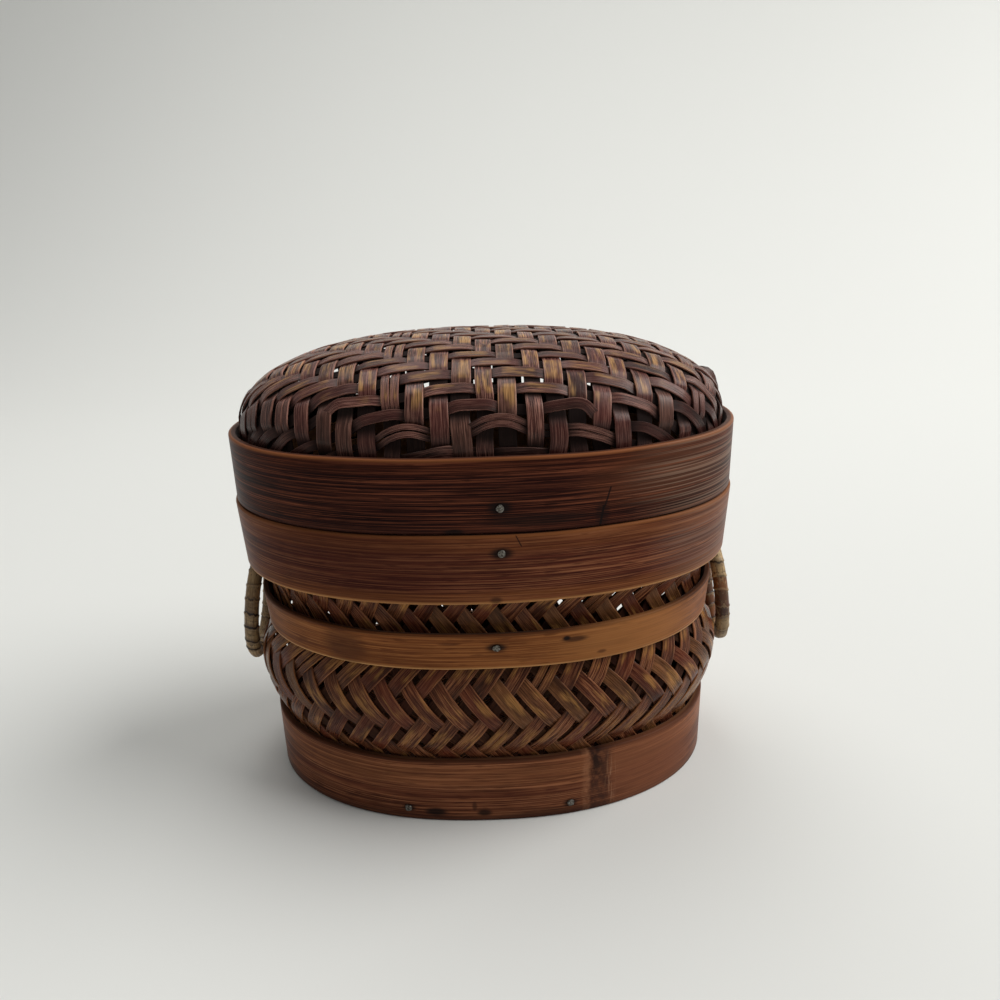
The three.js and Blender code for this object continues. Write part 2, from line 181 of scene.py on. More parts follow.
# Bent hoops: a little uneven in face and upper edge, with a lap that stands proud on the lid
HOOP_STEPS = 300
HOOP_ROWS = 9
CORNER_STEPS = 4
OUTER_ROUND = 0.55 * MM
INNER_ROUND = 0.3 * MM
HOOP_END_GAP = 0.04 * MM
HOOP_SWELL = 0.05 * MM
HOOP_SWELL_WAVES = (3, 7)
HOOP_EDGE = 0.07 * MM
HOOP_EDGE_WAVES = (4, 9)
LID_LAP_SLANT = 6 * MM
LID_LAP_LIFT = 0.15 * MM
LAP_SLANT_FADE = (0.42, 0.5)
LAP_LIFT_FADE = (0.93, 0.99)
INNER_JOINT = 0.4

# Ring handles and their ties; the first joint's place and the spacing are in mm
RING_WIDTHS = {"right": 23.0 * MM, "left": 26.4 * MM}
RING_DROP = 37.7 * MM
RING_THICKNESS = 4.7 * MM
RING_STEPS = 420
RING_SIDES = 20
RING_LINE_STEPS = 720
JOINT_FIRST = (0, 2)
JOINT_SPACING = (3.6, 5.2)
JOINT_LAST_GAP = 2.4 * MM
JOINT_SLANT = 0.55 * MM
JOINT_SLANT_SPREAD = (0.5, 1.3)
JOINT_RIDGE = 0.2 * MM
JOINT_RIDGE_PLACE = 0.45 * MM
JOINT_RIDGE_WIDTH = 0.55 * MM
JOINT_GROOVE = 0.16 * MM
JOINT_GROOVE_WIDTH = 0.22 * MM
TIE_THICKNESS = 0.8 * MM
TIE_CORNER = 1.8 * MM
TIE_CORNER_STEPS = 9
TIE_STEPS = 96
TIE_WEAR = 0.8
TIE_STRANDS = (-0.25, 0.25)
TIE_STRAND_WIDTH = 0.47
TIE_STRAND_THICKNESS = 0.72 * MM

# Tints of the rings' lengths from the top round, as places on a ramp of khaki, olive, tan and brown
FAR_LIMB = (0.9, 1.0, 0.95, 1.0, 0.9, 0.95, 0.9, 0.85, 0.7, 0.35)
NEAR_LIMB = (0.35, 0.3, 0.28, 1.0, 0.95, 0.82, 0.1, 0.05, 0.15, 0.1)
LEFT_LIMB = (0.45, 0.35, 0.4, 0.3, 0.64, 0.68, 0.66)

# Tacks: mm along the band from the middle of its front, and mm above the band's lower edge
TACK_HEAD = 1.05 * MM
TACK_RISE = 0.5 * MM
TACK_SHANK = 0.5 * MM
TACK_DEPTH = 2.0 * MM
TACK_SIDES = 24
TACK_DENT = 0.05
LID_TACK = (3.6, 6.6)
RIM_TACK = (3.7, 14.4)
MID_TACK = (1.7, 7.4)
FOOT_TACK_LEFT = (-25.1, 4.0)
FOOT_TACK_RIGHT = (21.8, 4.0)

# Camera at the photograph's place
CAMERA_PLACE = Vector((0.20, -221.26, 158.27)) * MM
CAMERA_AIM = Vector((0.0189, 0.9452, -0.3260))
CAMERA_ROLL = -0.0278
CAMERA_LENS = 27.03

# Studio, in metres and watts
SWEEP_REACH = 1.4
SWEEP_CORNER = 0.9
SWEEP_HEIGHT = 1.2
SWEEP_STEPS = 16
LAMP_TARGET = Vector((0, 0, 0.06))
LAMPS = {"key": ((2.2, 0.0, 2.2), 2.45, 92.0), "top": ((-0.2, 0.4, 1.25), 0.9, 6.0)}
WORLD_STRENGTH = 0.2

# Colours that are used by name, as screen values, and the height of the grain
SOOT = (22, 15, 14)
PAPER = (222, 222, 217)
DAYLIGHT = (236, 238, 240)
SURROUND = (184, 184, 180)
GRAIN_HEIGHT = 0.12 * MM


# Paths and ovals
def unit(vectors):
    return vectors / np.linalg.norm(vectors, axis=-1, keepdims=True)


def lengths_along(points):
    return np.concatenate([[0], np.cumsum(np.linalg.norm(np.diff(points, axis=0), axis=1))])


def evenly(points, count):
    """The same path with its points at even distances, and those distances."""
    gone = lengths_along(points)
    places = np.linspace(0, gone[-1], count)
    return np.column_stack([np.interp(places, gone, column) for column in points.T]), places


def loop_directions(path):
    """Which way a closed path goes at each of its points."""
    return unit(np.roll(path, -1, axis=0) - np.roll(path, 1, axis=0))


def arc(x, z, radius, start, stop, count):
    """Points of an arc about a centre, between two angles in degrees."""
    angles = np.radians(np.linspace(start, stop, count))
    return np.column_stack([x + radius * np.cos(angles), z + radius * np.sin(angles)])


def smooth_step(value, low, high):
    share = np.clip((value - low) / (high - low), 0, 1)
    return share * share * (3 - 2 * share)


def half_spans(node):
    """Half the length and half the width of a node's box."""
    low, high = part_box(node)
    return np.array([high.x - low.x, high.y - low.y]) / 2


def span_z(node):
    low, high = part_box(node)
    return low.z, high.z


def signed_power(value, power):
    return np.sign(value) * np.abs(value) ** power


def oval_points(half, angle):
    """Points of the superellipse plan with the given half sizes, at each angle."""
    power = 2 / PLAN_EXPONENT
    x = half[..., 0] * signed_power(np.cos(angle), power)
    y = half[..., 1] * signed_power(np.sin(angle), power)
    return np.stack([x, y], axis=-1)


def oval_normals(half, points):
    """Outward unit normals of the plan at its points."""
    return unit(signed_power(points / half, PLAN_EXPONENT - 1) / half)


lid_low, lid_high = span_z("lid_band")
rim_low, rim_high = span_z("rim_band")
mid_low, mid_high = span_z("mid_band")
foot_low, foot_high = span_z("foot_band")

belly_oval = half_spans("body_weave")
wall_oval = half_spans("rim_collar") + FIT_GAP + WEAVE_THICKNESS
foot_oval = half_spans("foot_band") - FOOT_BAND_THICKNESS - FIT_GAP
waist_oval = wall_oval - WAIST_DRAW
dome_oval = half_spans("lid_weave") - DOME_INSET
dome_base = lid_high - DOME_SPRING
dome_rise = span_z("lid_weave")[1] - dome_base

# Angles that divide the plan evenly, counted from the middle of the front towards the right end
plan_angles = np.linspace(-QUARTER_TURN, 3 * QUARTER_TURN, PLAN_STEPS + 1)
plan_lengths = lengths_along(oval_points(belly_oval, plan_angles))
belly_perimeter = plan_lengths[-1]


def hoop_ovals(node):
    """Half sizes of a hoop at its lower and its upper edge; two of the hoops are flared."""
    high = half_spans(node)
    if node == "rim_band":
        return high - RIM_FLARE, high
    if node == "mid_band":
        low = waist_oval + FIT_GAP + MID_BAND_THICKNESS
        return low, low + MID_FLARE
    return high, high


def angle_at(share):
    return np.interp(np.mod(share, 1), plan_lengths / belly_perimeter, plan_angles)


def wall_half(z):
    """Half sizes of the outside of the woven wall at each height."""
    z = np.asarray(z, float)
    rise = np.clip((z - foot_high) / (BELLY_HEIGHT - foot_high), 0, 1)
    fall = np.clip((mid_low - z) / (mid_low - BELLY_HEIGHT), 0, 1)
    spread = np.clip((z - mid_high) / (rim_low - mid_high), 0, 1)
    below = foot_oval + (belly_oval - foot_oval) * np.sin(rise * QUARTER_TURN)[..., None]
    above = waist_oval + (belly_oval - waist_oval) * np.sin(fall * QUARTER_TURN)[..., None]
    shoulder = waist_oval + (wall_oval - waist_oval) * (spread**2)[..., None]
    lower = np.where((z <= BELLY_HEIGHT)[..., None], below, above)
    return np.where((z <= mid_high)[..., None], lower, shoulder)


wall_z = np.linspace(FLOOR_HEIGHT + WEAVE_THICKNESS, rim_high - FIT_GAP, WALL_STEPS)
wall_arc = lengths_along(np.column_stack([wall_half(wall_z).mean(axis=1), wall_z]))
turn_arc = np.interp(BIAS_TURN_HEIGHT, wall_z, wall_arc)


def wall_frame(share, climbed):
    """Points in the middle of the woven wall and normals, by share of the way round and arc length up."""
    z = np.interp(climbed, wall_arc, wall_z)
    half = wall_half(z) - WEAVE_THICKNESS / 2
    plan = oval_points(half, angle_at(share))
    lift = 0.2 * MM
    lean = (wall_half(z + lift) - wall_half(z - lift)).mean(axis=-1) / (2 * lift)
    normals = unit(np.column_stack([oval_normals(half, plan), -lean]))
    return np.column_stack([plan, z]), normals


# Meshes
def tube_faces(rows, sides, start=0, closed=False, flipped=False):
    """Quads along rows of points, with a cap at each end unless the rows close into a ring."""
    corners = start + np.arange(rows * sides).reshape(rows, sides)
    ahead = np.roll(corners, -1, axis=0)
    quads = np.stack([corners, np.roll(corners, -1, axis=1), np.roll(ahead, -1, axis=1), ahead], axis=-1)
    if closed:
        faces = quads.reshape(-1, 4).tolist()
    else:
        faces = quads[:-1].reshape(-1, 4).tolist()
        faces += [corners[0, ::-1].tolist(), corners[-1].tolist()]
    if flipped:
        faces = [face[:1] + face[:0:-1] for face in faces]
    return faces


def smooth_mesh(name, points, faces, look, crease=40, place=None, **layers):
    """A smooth mesh in the scene, with sharp edges kept and its points' own values for the shaders."""
    mesh = bpy.data.meshes.new(name)
    mesh.from_pydata(np.reshape(points, (-1, 3)).tolist(), [], faces)
    for layer, values in layers.items():
        values = np.asarray(values, np.float32).ravel()
        single = values.size == len(mesh.vertices)
        kind, field = ("FLOAT", "value") if single else ("FLOAT_VECTOR", "vector")
        mesh.attributes.new(layer, kind, "POINT").data.foreach_set(field, values)
    if place:
        mesh.transform(place)
    mesh.shade_smooth()
    mesh.set_sharp_from_angle(angle=math.radians(crease))
    mesh.materials.append(look.material)
    made = bpy.data.objects.new(name, mesh)
    bpy.context.scene.collection.objects.link(made)
    return made


def belongs(piece, body, node):
    """The piece moves with a body and stands for a node, whose imported part is hidden."""
    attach(piece, body)
    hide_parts(node)


class Strips:
    """Flat strips of split cane, gathered into one mesh."""

    def __init__(self, seed):
        self.chance = random.Random(seed)
        self.points = []
        self.faces = []
        self.places = []
        self.wear_and_shade = []
        self.count = 0

    def wave(self, reach, length, waves=2.5):
        """A slow wander along a strip of the given number of steps."""
        along = np.linspace(0, FULL_TURN, length)
        total = np.zeros(length)
        for turn in (1, 2, 3):
            phase = self.chance.uniform(0, FULL_TURN)
            total += np.sin(along * waves * turn / 3 + phase) / turn
        return total * reach / WAVE_PEAK

    def ribbon(self, path, normals, width, thickness, wear_and_shade, closed=False, roll=0.0, tint=None):
        """One strip along a path; roll turns it about the path, in radians."""
        steps = len(path)
        sides = len(STRIP_SECTION)
        along = loop_directions(path) if closed else unit(np.gradient(path, axis=0))
        across = unit(np.cross(along, normals))
        out = np.cross(across, along)
        roll = np.broadcast_to(roll, steps)[:, None]
        turned_across = across * np.cos(roll) + out * np.sin(roll)
        turned_out = out * np.cos(roll) - across * np.sin(roll)
        half_width = np.broadcast_to(width, steps)[:, None, None] / 2
        side = STRIP_SECTION[:, 0][None, :, None] * half_width
        rise = STRIP_SECTION[:, 1][None, :, None] * thickness / 2
        rows = path[:, None, :] + turned_across[:, None, :] * side + turned_out[:, None, :] * rise
        place = np.zeros((steps, sides, 3))
        place[..., 0] = lengths_along(path)[:, None]
        place[..., 1] = STRIP_SECTION[:, 0]
        place[..., 2] = self.chance.random() if tint is None else tint
        self.faces += tube_faces(steps, sides, self.count, closed)
        self.points.append(rows.reshape(-1, 3))
        self.places.append(place.reshape(-1, 3))
        self.wear_and_shade.append(np.repeat(wear_and_shade, sides))
        self.count += steps * sides

    def split_ribbon(self, path, normals, width, thickness, wear_and_shade, roll):
        """A strip that has split lengthwise into two strands."""
        across = unit(np.cross(unit(np.gradient(path, axis=0)), normals))
        tint = self.chance.random()
        for side in (-1, 1):
            shift = side * STRAND_SHIFT * width + self.wave(STRAND_WANDER * width, len(path))
            strand = width * self.chance.uniform(*STRAND_WIDTH_SPREAD)
            shifted = path + across * shift[:, None]
            self.ribbon(shifted, normals, strand, thickness, wear_and_shade, roll=roll, tint=tint)

    def build(self, name, look, body, node):
        layers = {"strip": np.concatenate(self.places), "wear_and_shade": np.concatenate(self.wear_and_shade)}
        made = smooth_mesh(name, np.concatenate(self.points), self.faces, look, **layers)
        belongs(made, body, node)


# Shader trees
def linear(value):
    return value / 12.92 if value <= 0.04045 else ((value + 0.055) / 1.055) ** 2.4


def srgb(red, green, blue):
    """A screen colour, 0 to 255, in the linear values that shaders take."""
    return (linear(red / 255), linear(green / 255), linear(blue / 255), 1.0)


class Nodes:
    """Short calls for building a tree of nodes, where a colour is given by its screen values."""

    def __init__(self, tree):
        self.tree = tree

    def put(self, socket, value):
        if isinstance(value, bpy.types.NodeSocket):
            self.tree.links.new(value, socket)
        else:
            socket.default_value = srgb(*value) if isinstance(value, tuple) else value

    def add(self, kind, inputs, **settings):
        node = self.tree.nodes.new(kind)
        for key, value in settings.items():
            setattr(node, key, value)
        for key, value in inputs.items():
            self.put(node.inputs[key], value)
        return node

    def math(self, operation, *values):
        return self.add("ShaderNodeMath", dict(enumerate(values)), operation=operation).outputs[0]


class Shader(Nodes):
    """One material, named after its slot; face is its colour so far."""

    def __init__(self, slot, **surface):
        self.slot = slot
        self.material = bpy.data.materials.new(slot)
        self.material.use_nodes = True
        super().__init__(self.material.node_tree)
        self.surface = self.tree.nodes["Principled BSDF"].inputs
        for socket, value in surface.items():
            self.put(self.surface[socket.replace("_", " ")], value)

    def times(self, first, *others):
        for other in others:
            first = self.math("MULTIPLY", first, other)
        return first

    def plus(self, first, second):
        return self.math("ADD", first, second)

    def less(self, first, second):
        return self.math("SUBTRACT", first, second)

    def away(self, value, middle):
        return self.math("ABSOLUTE", self.less(value, middle))

    def blend(self, first, share, second):
        return self.plus(self.times(first, share), self.times(second, 1 - share))

    def attribute(self, name):
        return self.add("ShaderNodeAttribute", {}, attribute_name=name).outputs

    def split(self, vector):
        return self.add("ShaderNodeSeparateXYZ", {0: vector}).outputs[:]

    def streaks(self, x, x_scale, y, y_scale, z, detail=3.0, roughness=0.6):
        """Noise with its own scale each way, so that it can be drawn out along the surface."""
        place = {0: self.times(x, x_scale), 1: self.times(y, y_scale), 2: z}
        vector = self.add("ShaderNodeCombineXYZ", place).outputs[0]
        inputs = {"Vector": vector, "Scale": 1.0, "Detail": detail, "Roughness": roughness}
        return self.add("ShaderNodeTexNoise", inputs).outputs[0]

    def ease(self, value, low, high, to_low=0.0, to_high=1.0):
        """Goes smoothly from one number to another while a value goes from low to high."""
        inputs = {0: value, 1: low, 2: high, 3: to_low, 4: to_high}
        return self.add("ShaderNodeMapRange", inputs, interpolation_type="SMOOTHSTEP").outputs[0]

    def mix(self, share, first, second):
        return self.add("ShaderNodeMix", {0: share, 6: first, 7: second}, data_type="RGBA").outputs[2]

    def ramp(self, value, stops):
        node = self.add("ShaderNodeValToRGB", {0: value})
        elements = node.color_ramp.elements
        while len(elements) < len(stops):
            elements.new(1.0)
        for element, (position, colour) in zip(elements, stops):
            element.position = position
            element.color = srgb(*colour)
        return node.outputs[0]

    def spot(self, x, y, centre, radii, soft):
        """One inside an oval patch of the surface, fading to none at its edge."""
        squares = []
        for value, middle, radius in zip((x, y), centre, radii):
            share = self.math("DIVIDE", self.less(value, middle), radius)
            squares.append(self.math("POWER", share, 2.0))
        return self.ease(self.math("SQRT", self.plus(*squares)), soft, 1.0, 1.0, 0.0)

    def line(self, x, centre, half_width):
        """One on a line across the surface, fading to none at its edges."""
        return self.ease(self.away(x, centre), half_width * 0.4, half_width, 1.0, 0.0)

    def thread(self, noise, half_width):
        """One on the thin lines where a noise passes its middle value."""
        return self.ease(self.away(noise, 0.5), 0.0, half_width, 1.0, 0.0)

    def paint(self, colour):
        self.face = colour
        self.put(self.surface["Base Color"], colour)

    def mark(self, shade, *shares):
        """Lays a shade over the face, as much of it as the shares give when multiplied."""
        self.paint(self.mix(self.times(*shares), self.face, shade))

    def finish(self, roughness, height, strength):
        self.put(self.surface["Roughness"], roughness)
        inputs = {"Height": height, "Strength": strength, "Distance": GRAIN_HEIGHT}
        self.put(self.surface["Normal"], self.add("ShaderNodeBump", inputs).outputs[0])


def cane(slot, tones, gold, gold_share, olive, red, dust_and_painted_light, painted_shade, gloss):
    """Split cane: fine fibres along the strip, worn golden where it crests, painted shade where it dips."""
    dark, plain, light = tones
    look = Shader(slot, Specular_IOR_Level=gloss, Specular_Tint=(255, 240, 230))
    along, across, tint = look.split(look.attribute("strip")["Vector"])
    wear_and_shade = look.attribute("wear_and_shade")["Fac"]
    seed = look.times(tint, 61.0)
    fibres = look.streaks(along, 75.0, across, 8.0, seed, 3.0, 0.65)
    fine = look.streaks(along, 210.0, across, 17.0, seed, 2.0)
    patches = look.streaks(along, 90.0, across, 1.1, seed)
    cloud = look.streaks(along, 60.0, across, 0.6, seed)
    grain = look.blend(fibres, 0.55, fine)
    look.paint(look.ramp(grain, [(0.4, dark), (0.5, plain), (0.62, light)]))
    hue = look.math("FRACT", look.times(tint, 7.3))
    look.mark(olive, look.ease(hue, 0.12, 0.3, 0.45, 0.0))
    look.mark(red, look.ease(hue, 0.6, 0.85, 0.0, 0.5))
    own = look.ease(tint, 0.4, 1.0, 0.0, 0.35)
    look.mark(dark, look.plus(own, look.ease(cloud, 0.45, 0.65, 0.0, 0.45)))
    crests = look.times(look.ease(patches, 0.46, 0.64), look.ease(wear_and_shade, 0.7, 0.97))
    look.mark(gold, crests, look.ease(grain, 0.38, 0.6, 0.25, 1.0), gold_share)
    # Pale edges: rubbed, and along the crests a painted highlight as well.
    edge = look.ease(look.math("ABSOLUTE", across), 0.84, 0.97)
    look.mark(light, edge, look.ease(wear_and_shade, 0.3, 0.9, 0.05, 0.5))
    # Painted shade where the strip dips under others and, on the lid, near its rim.
    look.mark(dust_and_painted_light, look.ease(wear_and_shade, 0.05, 0.6, painted_shade, 0.0))
    polished = look.ease(fine, 0.3, 0.7, 0.22, 0.38)
    look.finish(look.math("MAXIMUM", polished, look.ease(wear_and_shade, 0.1, 0.45, 0.85, 0.2)), grain, 0.6)
    return look


class Bamboo(Shader):
    """A stained bamboo strip: grain along the hoop, a tone on each lip, a plainer inner face.

    Marks are laid on its face in turn. Their places are mm along the strip from the middle of the
    front and mm up from its lower edge; tall is the strip's height in mm.
    """

    def __init__(self, slot, tall, tones, lips, inside, lines, reach, hairs):
        super().__init__(slot, Specular_IOR_Level=0.045, Sheen_Weight=0.09, Sheen_Roughness=0.3)
        dark, plain, light = tones
        along, rise, depth = self.split(self.attribute("hoop")["Vector"])
        coarse = self.streaks(along, 9.0, rise, lines * 0.5, depth)
        fine = self.streaks(along, 26.0, rise, lines * 1.3, depth, 2.0, 0.7)
        hair = self.streaks(along, 6.0, rise, lines * 0.6, self.plus(depth, 7.0), 2.0)
        cloud = self.streaks(along, 30.0, rise, 160.0, depth)
        pores = self.streaks(along, 150.0, rise, lines * 0.9, depth, 1.0, 0.5)
        grain = self.blend(coarse, 0.45, fine)
        self.along, self.rise, self.cloud, self.fine = along, rise, cloud, fine
        self.paint(self.ramp(grain, [(0.5 - reach, dark), (0.5, plain), (0.5 + 1.3 * reach, light)]))
        self.mark(dark, self.ease(cloud, 0.42, 0.68, 0.0, 0.55))
        self.mark(light, self.thread(hair, 0.05), self.ease(fine, 0.4, 0.6, 0.25, hairs))
        self.mark(dark, self.thread(coarse, 0.045), self.ease(cloud, 0.35, 0.6, 0.2, hairs))
        self.mark(dark, self.ease(pores, 0.56, 0.7, 0.0, 0.6))
        broken = self.ease(coarse, 0.3, 0.6, 0.5, 0.95)
        top = self.ease(rise, (tall - 1.0) * MM, (tall - 0.3) * MM)
        bottom = self.ease(rise, 0.4 * MM, 1.1 * MM, 1.0, 0.0)
        # Each lip takes a tone of its own: rubbed paler on some hoops, while the dark lips of the waist and
        # foot hoops are painted shade.
        self.mark(lips[0], top, broken)
        self.mark(lips[1], bottom, broken)
        behind = self.mix(self.ease(grain, 0.42, 0.6, 0.0, 0.6), inside, dark)
        self.mark(behind, self.ease(depth, 0.25, 0.5))
        self.finish(self.ease(fine, 0.3, 0.7, 0.34, 0.5), grain, 0.45)

    def patch(self, centre, radii, along=None, soft=0.35):
        where = self.along if along is None else along
        return self.spot(where, self.rise, np.array(centre) * MM, np.array(radii) * MM, soft)

    def between(self, low, high, soft):
        """One between two heights, fading to none from the soft share of the way to each."""
        middle = (low + high) / 2 * MM
        half = (high - low) / 2 * MM
        return self.ease(self.away(self.rise, middle), half * soft, half, 1.0, 0.0)

    def zone(self, low, high, share, shade):
        """A lengthwise zone of the strip in a tone of its own that the grain breaks up."""
        broken = self.ease(self.fine, 0.35, 0.6, 0.4, 1.0)
        self.mark(shade, self.between(low, high, 0.3), broken, share)

    # A patch of another tone: mostly stains, in places painted shade and painted sheen.
    def tone_patch(self, centre, radii, share, shade=SOOT):
        self.mark(shade, self.patch(centre, radii), share)

    def dust_and_painted_light(self, centre, radii, share, hollow, shade):
        """A patch of pale dust and painted sheen that stays mostly on thin lines of the grain, less so in
        the hollows between them.
        """
        raised = self.streaks(self.along, 5.0, self.rise, 850.0, 4.0, 2.0, 0.5)
        lines = self.ease(self.thread(raised, 0.1), 0.0, 1.0, hollow, 1.0)
        self.mark(shade, self.patch(centre, radii), share, lines)

    def crack(self, foot, head, half_width, share):
        """A dark hairline between two points of the face."""
        slope = (head[0] - foot[0]) / (head[1] - foot[1])
        lean = self.times(self.less(self.rise, foot[1] * MM), slope)
        line = self.line(self.less(self.along, lean), foot[0] * MM, half_width * MM)
        self.mark(SOOT, line, self.between(foot[1], head[1], 0.8), share)

    def planed_node(self, at, tall):
        """The scar of a node planed flat: a blotched zone, darkest above, a pale edge, pale scratches."""
        ragged = self.times(self.less(self.fine, 0.5), 2.4 * MM)
        waver = self.times(self.less(self.cloud, 0.5), 2.0 * MM)
        where = self.plus(self.along, self.plus(ragged, waver))
        blotch = self.streaks(self.along, 420.0, self.rise, 300.0, 3.0, 3.0, 0.65)
        scratch = self.streaks(self.along, 1500.0, self.rise, 140.0, 5.0, 2.0)
        starts = self.ease(where, (at - 3.2) * MM, (at - 1.6) * MM)
        stops = self.ease(where, (at + 2.4) * MM, (at + 5.4) * MM, 1.0, 0.0)
        self.mark((58, 35, 28), starts, stops, self.ease(blotch, 0.38, 0.6, 0.45, 1.0), 0.8)
        upper = self.patch((at - 0.6, tall * 0.85), (3.6, tall * 0.5), where, 0.1)
        self.mark(SOOT, upper, self.ease(blotch, 0.4, 0.62, 0.15, 0.7))
        pale = self.line(where, (at - 3.5) * MM, 1.5 * MM)
        self.mark((156, 106, 76), pale, self.ease(blotch, 0.35, 0.6, 0.6, 0.2))
        scored = self.patch((at + 4.4, tall * 0.5), (2.6, tall * 0.65), soft=0.2)
        self.mark((164, 120, 92), scored, self.ease(scratch, 0.5, 0.66, 0.0, 0.65))


def dark_bamboo():
    """The lid's hoop: nearly black, with a worn upper lip, a crack, and a right end paler with dust and
    painted sheen.
    """
    tall = (lid_high - lid_low) / MM
    band = Bamboo(
        "dark_bamboo", tall, tones=((24, 7, 6), (43, 12, 10), (132, 74, 50)),
        lips=((144, 88, 52), (60, 30, 22)), inside=(70, 42, 30), lines=2300.0, reach=0.115, hairs=0.58)
    band.zone(tall - 5, tall + 3, 0.25, (92, 42, 22))
    # A paler patch towards the right end: a painted sheen.
    band.tone_patch((46, 12), (30, 10), 0.3, (112, 66, 42))
    band.tone_patch(LID_TACK, (4.2, 2.6), 0.9)
    band.tone_patch((13, 3.2), (19, 2.4), 0.7)
    band.tone_patch((-8, 0.6), (3.6, 1.2), 0.8)
    # Dust and a painted sheen on the right end.
    band.dust_and_painted_light((64, 10), (34, 17), 0.56, 0.1, (146, 117, 98))
    band.tone_patch((29.4, 3.4), (2.6, 4.4), 0.55)
    band.crack((28.8, 0.0), (29.9, 5.8), 0.42, 0.9)
    band.crack((30.0, 4.8), (31.7, 10.4), 0.34, 0.85)
    return band


def red_bamboo():
    """The rim's hoop: red-brown, darker to the left with painted shade, and a right end paler with dust and
    painted sheen.
    """
    tall = (rim_high - rim_low) / MM
    band = Bamboo(
        "red_bamboo", tall, tones=((54, 20, 14), (95, 45, 30), (156, 101, 68)),
        lips=((134, 82, 46), (214, 158, 100)), inside=(96, 62, 42), lines=1900.0, reach=0.12, hairs=0.78)
    band.zone(-2, 5, 0.5, (134, 80, 40))
    band.zone(tall - 6, tall + 1, 0.5, (124, 72, 38))
    # Darker to the left: painted shade.
    band.tone_patch((-34, 11), (46, 12), 0.5, (58, 19, 13))
    band.tone_patch(RIM_TACK, (4.0, 2.3), 0.9)
    band.tone_patch((2.0, 1.2), (2.2, 1.4), 0.6)
    # Dust and a painted sheen on the right end.
    band.dust_and_painted_light((66, 10), (28, 16), 0.44, 0.35, (148, 118, 101))
    band.crack((8.7, 16.0), (7.2, 19.3), 0.24, 0.85)
    return band


def tan_bamboo():
    """The hoop round the waist: tan, with a bright lower lip, a dark upper lip of painted shade, and dark
    flecks.
    """
    tall = (mid_high - mid_low) / MM
    band = Bamboo(
        "tan_bamboo", tall, tones=((88, 45, 20), (138, 81, 42), (170, 112, 64)),
        # The dark upper lip is painted shade for the flare's top and inner face.
        lips=((66, 38, 24), (204, 152, 96)), inside=(60, 38, 27), lines=1500.0, reach=0.15, hairs=0.6)
    band.tone_patch((40, 5.0), (30, 11), 0.6, (166, 110, 62))
    band.tone_patch(MID_TACK, (3.8, 2.0), 0.9)
    band.tone_patch((23, 8.2), (5.0, 1.3), 0.8, (50, 26, 16))
    band.tone_patch((20.6, 8.8), (1.5, 1.1), 0.95)
    band.tone_patch((-41, 5.5), (9, 8), 0.6, (70, 38, 22))
    band.tone_patch((-11, 8.8), (4.0, 0.6), 0.6, (78, 42, 24))
    band.tone_patch((31, 2.6), (2.0, 0.8), 0.7, (78, 42, 24))
    return band


def brown_bamboo():
    """The hoop round the foot: brown in three zones, the lowest a painted shadow, dark lips of painted
    shade, a planed node and stains near its lower edge.
    """
    tall = (foot_high - foot_low) / MM
    band = Bamboo(
        "brown_bamboo", tall, tones=((62, 29, 19), (118, 67, 43), (166, 108, 74)),
        # Both lips are dark with painted shadow: under the belly above and along the floor below.
        lips=((70, 40, 27), (92, 54, 36)), inside=(104, 72, 50), lines=1700.0, reach=0.125, hairs=0.9)
    band.zone(10, 21, 0.4, (152, 96, 60))
    band.zone(7.6, 10.4, 0.55, (86, 41, 27))
    # Darker along the lower edge: a painted shadow where the hoop meets the floor.
    band.zone(-2.0, 2.6, 0.65, (56, 30, 22))
    band.tone_patch((48, 9), (26, 18), 0.6, (126, 77, 53))
    band.planed_node(29.9, tall)
    band.tone_patch(FOOT_TACK_LEFT, (2.6, 1.8), 0.8)
    band.tone_patch(FOOT_TACK_RIGHT, (3.0, 1.8), 0.8)
    band.tone_patch((-17.2, 3.1), (4.6, 1.9), 0.9)
    band.tone_patch((-3.2, 2.9), (3.0, 1.6), 0.85)
    band.tone_patch((-6.0, 5.2), (1.0, 2.2), 0.7, (52, 28, 20))
    band.tone_patch((16, 1.2), (22, 2.6), 0.55, (44, 24, 17))
    return band


def inner_bamboo():
    edge = (150, 112, 76)
    return Bamboo(
        "inner_bamboo", 24, tones=((98, 66, 43), (136, 98, 66), (162, 124, 88)),
        lips=(edge, edge), inside=(128, 92, 62), lines=900.0, reach=0.15, hairs=0.8)


